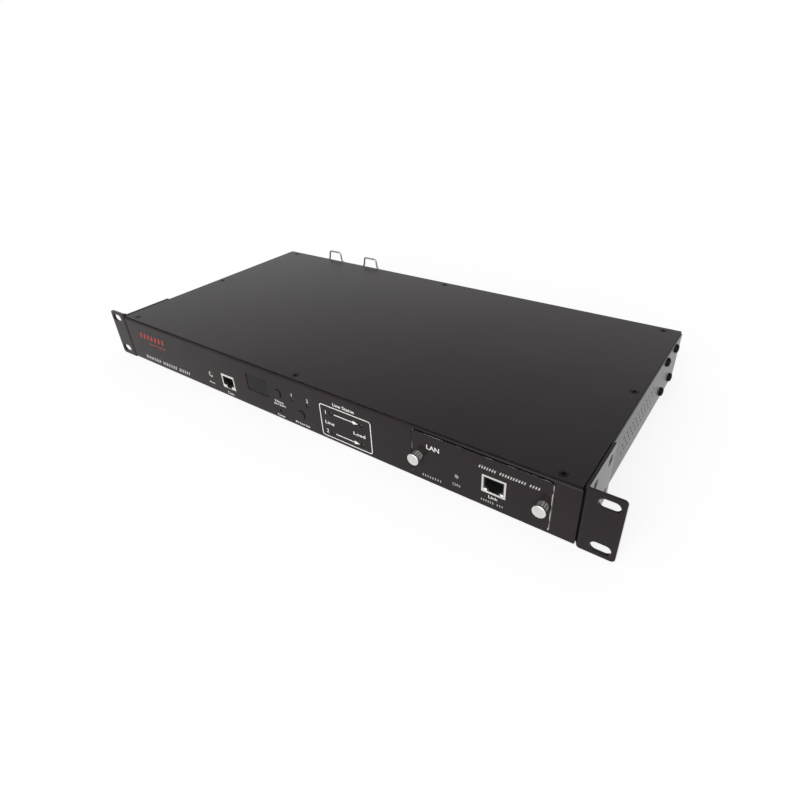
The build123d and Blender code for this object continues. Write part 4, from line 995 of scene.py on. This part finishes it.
class RACKSWITCH_OT_sockets(UnitOperator):
    """Finish the small sockets' faces and the mains sockets' moulded rims"""

    bl_idname = "rack_switch.sockets"
    bl_label = "Sockets"

    def metal_rim(self, sizes):
        """The folded metal rim round the network socket's face."""
        low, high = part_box("card_jack")
        rim = flat_piece("card_jack_rim", high.x - low.x, high.z - low.z)
        bpy.ops.mesh.inset(thickness=sizes.rim, depth=0.0)
        bpy.ops.mesh.delete(type="FACE")
        done()
        thicken(rim, sizes.rim_proud)
        middle = (low + high) / 2
        rim.data.transform(Matrix.Translation((middle.x, low.y, middle.z)) @ UPRIGHT)
        apply_modifier(rim, "BEVEL", width=sizes.rim_proud * RIM_ROUNDING, segments=EDGE_STEPS,
                       limit_method="ANGLE", angle_limit=SHARP_ANGLE)
        smooth(rim)
        dress(rim, "nickel", "card", "plated_steel")

    def light_pipes(self, sizes):
        """The two clear light pipes in the lower corners of the network socket's face."""
        low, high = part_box("card_jack")
        across, back, up = PIPE_SHIFT
        for name, x in (("left", low.x + sizes.rim + across), ("right", high.x - sizes.rim - across)):
            place = (x, low.y + back, low.z + sizes.rim + up)
            pipe = block(f"card_jack_{name}_light_pipe", PIPE_SIZE, place)
            edit(pipe)
            select(pipe, "EDGE", lambda e: all(v.co.y < low.y for v in e.verts))
            round_edges(PIPE_EDGE, PIPE_STEPS)
            done()
            smooth(pipe)
            dress(pipe, "light_pipe", "card", "lamp_plastic")

    def open_mouth(self, piece, sizes):
        """Widen the serial jack's mouth beside the plug and under its latch, down to a thin frame."""
        low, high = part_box("serial_jack")
        middle, half = (low.x + high.x) / 2, sizes.latch / 2
        step = low.z + sizes.mouth_bottom
        for left, right, bottom, top in (
                (low.x + sizes.frame, high.x - sizes.frame, step, high.z - sizes.mouth_top),
                (middle - half, middle + half, low.z + sizes.latch_frame, step)):
            tool = block("mouth_tool", (right - left, 2 * sizes.mouth_step, top - bottom),
                         ((left + right) / 2, low.y, (bottom + top) / 2))
            combine(piece, tool, "DIFFERENCE")

    def in_mouth(self, node, wall, lip):
        """A test for faces inside a socket's mouth, behind its pale lip and away from its outer walls:
        these take black as painted shade in the mouth.
        """
        low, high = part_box(node)

        def test(face):
            at = face.center
            across = low.x + wall < at.x < high.x - wall
            along = low.z + wall < at.z < high.z - wall
            return across and along and low.y + lip < at.y < high.y - wall

        return test

    def execute(self, context):
        edges, sizes = self.settings.edges, self.settings.sockets
        for node, lip in (("serial_jack", sizes.serial_lip), ("sensor_jack", sizes.sensor_lip)):
            piece = rounded_copy(node, f"{node}_shell", edges.socket)
            if node == "serial_jack":
                self.open_mouth(piece, sizes)
            edit_all(piece)
            bpy.ops.mesh.bisect(plane_co=(0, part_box(node)[0].y + lip, 0), plane_no=(0, 1, 0))
            done()
            dress(piece, "ivory", "chassis", "ivory_plastic", node)
            # Black behind the lip: painted shade inside the ivory socket's mouth
            add_finish(piece, "black", self.in_mouth(node, sizes.wall, lip))
        insert = rounded_copy("card_jack", "card_jack_insert", edges.socket)
        dress(insert, "black", "card", "black_plastic", "card_jack")
        self.metal_rim(sizes)
        self.light_pipes(sizes)
        for node in ["inlet_a", "inlet_b"] + [f"outlet_{i}" for i in range(1, 9)]:
            piece = rounded_copy(node, f"{node}_moulded", edges.moulded)
            dress(piece, "black", "chassis", "black_plastic", node)
        return {"FINISHED"}


class RACKSWITCH_OT_panel_print(UnitOperator):
    """Print the flow diagram, the control labels and the plain strokes on the panel and the card"""

    bl_idname = "rack_switch.panel_print"
    bl_label = "Panel Print"

    def lift(self, piece, x, z):
        """Stand artwork up on the front panel, with its middle at x and z."""
        apply_place(piece)
        middle = sum((Vector(corner) for corner in piece.bound_box), Vector()) / 8
        place = Matrix.Translation((x, FRONT - self.settings.print.ink / 2, z))
        piece.data.transform(place @ UPRIGHT @ Matrix.Translation(-middle))

    def mark(self, piece, x, z, ink="white_ink"):
        """Give flat artwork the ink's height and colour, and stand it up on the panel."""
        thicken(piece, self.settings.print.ink)
        self.lift(piece, x, z)
        piece.data.materials.append(MATERIALS[ink])
        return piece

    def word(self, text, height, x, z, width=None, ink="white_ink"):
        """A word or number in plain letters, centred at x and z, with a width in millimetres if asked."""
        bpy.ops.object.text_add(location=(0, 0, 0))
        label = bpy.context.object
        label.data.body = text
        label.data.size = height / CAPITAL_SHARE
        label.data.extrude = self.settings.print.ink / 2
        label.data.offset = LETTER_SPREAD * height
        label.data.resolution_u = LETTER_STEPS
        pick_only(label)
        bpy.ops.object.convert(target="MESH")
        label = new_piece(f"word_{text.lower()}")
        if width:
            label.scale = (width * MM / label.dimensions.x, 1.0, 1.0)
        self.lift(label, x, z)
        label.data.materials.clear()
        label.data.materials.append(MATERIALS[ink])
        return label

    def bar(self, left, right, bottom, top, ink, lean=0.0):
        """A plain printed bar with rounded corners, leaning to the right if asked."""
        piece = flat_piece("bar", right - left, top - bottom)
        bpy.ops.mesh.bevel(offset=BAR_ROUNDING * (top - bottom), segments=BAR_STEPS, affect="VERTICES")
        done()
        for vertex in piece.data.vertices:
            vertex.co.x += lean * vertex.co.y
        return self.mark(piece, (left + right) / 2, (bottom + top) / 2, ink)

    def strokes(self, datum, row):
        """A line of plain strokes in groups, with a gap between groups, set from a datum in X."""
        left, right, bottom, top, groups, ink, lean = row
        pitch = (right - left) * MM / (sum(groups) + len(groups) - 1)
        pieces, x = [], datum + left * MM
        for count in groups:
            for _ in range(count):
                pieces.append(self.bar(x, x + STROKE_SHARE * pitch, bottom * MM, top * MM, ink, lean))
                x += pitch
            x += pitch
        return pieces

    def outline(self, left, right, bottom, top):
        """The diagram's rounded frame, as one printed line."""
        settings = self.settings.print
        piece = flat_piece("diagram_frame", right - left, top - bottom)
        bpy.ops.mesh.bevel(offset=settings.corner, segments=FRAME_STEPS, affect="VERTICES")
        bpy.ops.mesh.select_mode(type="FACE")
        bpy.ops.mesh.select_all(action="SELECT")
        bpy.ops.mesh.inset(thickness=settings.line, depth=0.0)
        bpy.ops.mesh.delete(type="FACE")
        done()
        return self.mark(piece, (left + right) / 2, (bottom + top) / 2)

    def arrow(self, left, right, z):
        """A printed arrow to the right: a shaft that widens into a head."""
        settings = self.settings.print
        piece = flat_piece("arrow", right - left - settings.arrow_length, settings.line)
        select(piece, "EDGE", lambda e: all(v.co.x > 0 for v in e.verts))
        head = settings.arrow_width / settings.line
        for run, widen in ((ARROW_STEP, head), (settings.arrow_length, ARROW_TIP)):
            bpy.ops.mesh.extrude_region_move(TRANSFORM_OT_translate={"value": (run, 0, 0)})
            bpy.ops.transform.resize(value=(1.0, widen, 1.0))
        done()
        return self.mark(piece, (left + right) / 2, z)

    def control_print(self):
        """The labels of the front controls and the numbers of the source lamps."""
        small = self.settings.print.small_letter
        marks = []
        for text, node, share, right, up, width in CONTROL_LABELS:
            at = centre_of(node)
            marks.append(self.word(text, small * share, at.x + right * MM, at.z + up * MM, width))
        for number, lamp in enumerate(islands("status_leds")[:2], start=1):
            at = middle_of(lamp)
            x, z = at.x + NUMBER_RIGHT * number, at.z + NUMBER_UP
            marks.append(self.word(str(number), NUMBER_HEIGHT, x, z))
        return marks

    def diagram(self):
        """The flow diagram: a frame, words and numbers in it, and two arrows between the flow lamps."""
        low_left, high_left, low_right, _ = [middle_of(lamp) for lamp in islands("status_leds")[2:]]
        left, right = low_left.x - FRAME_LEFT, low_right.x + FRAME_RIGHT
        bottom, top = low_left.z - FRAME_BELOW, high_left.z + FRAME_ABOVE
        middle = (low_left.z + high_left.z) / 2 - WORD_DROP
        letter = self.settings.print.letter
        word = letter * WORD_SHARE
        marks = [self.outline(left, right, bottom, top)]
        for text, height, x, across, z, up, width in (
                ("Line Status", word, (left + right) / 2, -0.3, top, 3.0, 19.5),
                ("1", letter, left, 5.5, high_left.z, -0.4, None),
                ("2", letter, left, 5.5, low_left.z, 0.3, None),
                ("Line", word, left, 8.5, middle, 0.0, 8.6),
                ("Load", word, right, -10.9, middle, 0.0, 10.6)):
            marks.append(self.word(text, height, x + across * MM, z + up * MM, width))
        for lamp in (high_left, low_left):
            marks.append(self.arrow(low_left.x + ARROW_START, low_right.x - ARROW_END, lamp.z))
        return marks

    def left_print(self):
        """The red strokes with a rule under them, and the white strokes, at the panel's left end."""
        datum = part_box("chassis_tray")[0].x + LEFT_INSET
        left, right, bottom, top = [place * MM for place in RED_RULE]
        rule = self.bar(datum + left, datum + right, bottom, top, "red_ink")
        return self.strokes(datum, RED_STROKES) + [rule] + self.strokes(datum, WHITE_STROKES)

    def card_print(self):
        """The marks on the card's plate."""
        settings = self.settings.print
        small = settings.small_letter
        left, right = [corner.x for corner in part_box("card_plate")]
        lamp, jack = centre_of("card_led"), centre_of("card_jack")
        marks = []
        for text, height, x, across, z, up, width, ink in (
                ("LAN", settings.card_letter, left, 16.1, 0.0, 29.6, 9.4, "white_ink"),
                ("ON", small, lamp.x, 0.0, lamp.z, -6.2, 5.6, "grey_ink"),
                ("Link", small, jack.x, 0.0, jack.z, -9.2, 6.2, "white_ink")):
            marks.append(self.word(text, height, x + across * MM, z + up * MM, width, ink))
        for datum, row in ((left, CARD_LEFT_STROKES), (jack.x, CARD_JACK_STROKES),
                           (right, CARD_RIGHT_STROKES)):
            marks += self.strokes(datum, row)
        return marks

    def execute(self, context):
        panel = join(self.control_print() + self.diagram() + self.left_print(), "front_panel_print")
        card = join(self.card_print(), "card_print")
        dress(panel, None, "chassis", "black_paint")
        dress(card, None, "card", "black_paint")
        return {"FINISHED"}


class RACKSWITCH_OT_stage(UnitOperator):
    """Set up the pale floor, the soft light and the camera"""

    bl_idname = "rack_switch.stage"
    bl_label = "Stage"

    def seen_share(self, tree):
        """1 for rays from the camera, from gloss or through glass, and 0 for the rest."""
        path = add_node(tree, "ShaderNodeLightPath")
        share = path.outputs["Is Camera Ray"]
        for name in ("Is Glossy Ray", "Is Transmission Ray"):
            share = add_node(tree, "ShaderNodeMath", {"operation": "MAXIMUM"},
                             {0: share, 1: path.outputs[name]}).outputs["Value"]
        return share

    def floor(self, settings):
        """A pale matt floor that looks white and keeps a light shadow."""
        height = CAD_BOX[0].z - FLOOR_GAP
        bpy.ops.mesh.primitive_plane_add(size=settings.floor_size, location=(0, 0, height))
        floor = new_piece("floor")
        apply_place(floor)
        material = bpy.data.materials.new("matt_studio_floor")
        material.use_nodes = True
        tree = material.node_tree
        tree.nodes.clear()
        matt = add_node(tree, "ShaderNodeBsdfDiffuse", {"Color": (*settings.floor_colour, 1.0)})
        path = add_node(tree, "ShaderNodeLightPath")
        strength = add_node(tree, "ShaderNodeMapRange",
                            {"To Min": settings.floor_glow, "To Max": settings.floor_gloss},
                            {"Value": path.outputs["Is Glossy Ray"]})
        glow = add_node(tree, "ShaderNodeEmission", {"Color": WHITE},
                        {"Strength": strength.outputs["Result"]})
        share = add_node(tree, "ShaderNodeMath", {"operation": "MULTIPLY", 1: settings.glow_share},
                         {0: self.seen_share(tree)})
        mixed = add_node(tree, "ShaderNodeMixShader", {},
                         {0: share.outputs["Value"], 1: matt.outputs["BSDF"], 2: glow.outputs["Emission"]})
        add_node(tree, "ShaderNodeOutputMaterial", {}, {"Surface": mixed.outputs["Shader"]})
        floor.data.materials.append(material)

    def world(self, settings):
        """An even surround: white where it is seen, and a plain level of light elsewhere."""
        world = bpy.data.worlds.new("studio_surround")
        bpy.context.scene.world = world
        world.use_nodes = True
        tree = world.node_tree
        tree.nodes.clear()
        strength = add_node(tree, "ShaderNodeMapRange", {"To Min": settings.fill_level, "To Max": 1.0},
                            {"Value": self.seen_share(tree)})
        glow = add_node(tree, "ShaderNodeBackground", {"Color": WHITE},
                        {"Strength": strength.outputs["Result"]})
        add_node(tree, "ShaderNodeOutputWorld", {}, {"Surface": glow.outputs["Background"]})

    def front_light(self, settings):
        """A broad soft light from the front, as even far off as near by."""
        bpy.ops.object.light_add(type="SUN")
        lamp = bpy.context.object
        lamp.name = "front_light"
        lamp.data.energy = settings.light_level
        lamp.data.angle = settings.light_spread
        lamp.rotation_mode = "QUATERNION"
        lamp.rotation_quaternion = Vector(LIGHT_FROM).to_track_quat("Z", "Y")

    def camera(self, settings):
        """A camera at the photographed angle, leaning by its roll."""
        azimuth, elevation = settings.azimuth, settings.elevation
        back = Vector((math.sin(azimuth) * math.cos(elevation), -math.cos(azimuth) * math.cos(elevation),
                       math.sin(elevation)))
        right = (-back).cross(Vector((0, 0, 1))).normalized()
        up = right.cross(-back)
        c, s = math.cos(settings.roll), math.sin(settings.roll)
        across, over = c * right + s * up, c * up - s * right
        data = bpy.data.cameras.new("photo_camera")
        data.sensor_width = SENSOR_WIDTH
        data.lens = settings.lens
        data.clip_start, data.clip_end = CLIP_START, CLIP_END
        camera = bpy.data.objects.new("photo_camera", data)
        turn = Matrix((across, over, back)).transposed().to_4x4()
        camera.matrix_world = Matrix.Translation(settings.camera_place) @ turn
        bpy.context.scene.collection.objects.link(camera)
        bpy.context.scene.camera = camera

    def execute(self, context):
        settings = self.settings.stage
        self.floor(settings)
        self.world(settings)
        self.front_light(settings)
        self.camera(settings)
        bpy.context.scene.view_settings.view_transform = "Standard"
        return {"FINISHED"}


class RACKSWITCH_PT_panel(bpy.types.Panel):
    """Lists the unit's settings and operators in the sidebar"""

    bl_idname = "RACKSWITCH_PT_panel"
    bl_label = "Rack Switch"
    bl_space_type = "VIEW_3D"
    bl_region_type = "UI"
    bl_category = "Rack Switch"

    def draw(self, context):
        settings = context.scene.rack_switch
        for group in settings.__annotations__:
            box = self.layout.box()
            box.label(text=group.capitalize())
            values = getattr(settings, group)
            for name in values.__annotations__:
                box.prop(values, name)
        for operator in OPERATORS:
            self.layout.operator(operator.bl_idname)


OPERATORS = (
    RACKSWITCH_OT_finishes,
    RACKSWITCH_OT_sheet_metal,
    RACKSWITCH_OT_screws,
    RACKSWITCH_OT_thumbscrews,
    RACKSWITCH_OT_sockets,
    RACKSWITCH_OT_panel_print,
    RACKSWITCH_OT_stage,
)
GROUPS = (FinishSettings, ScrewSettings, ThumbscrewSettings, PrintSettings, EdgeSettings, SocketSettings,
          StageSettings, RackSwitchSettings)
CLASSES = GROUPS + OPERATORS + (RACKSWITCH_PT_panel,)


def register():
    for one in CLASSES:
        bpy.utils.register_class(one)
    bpy.types.Scene.rack_switch = PointerProperty(type=RackSwitchSettings)


def unregister():
    del bpy.types.Scene.rack_switch
    for one in reversed(CLASSES):
        bpy.utils.unregister_class(one)


def main():
    """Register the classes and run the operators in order."""
    register()
    for operator in OPERATORS:
        group, name = operator.bl_idname.split(".")
        getattr(getattr(bpy.ops, group), name)()


if __name__ == "__main__":
    main()
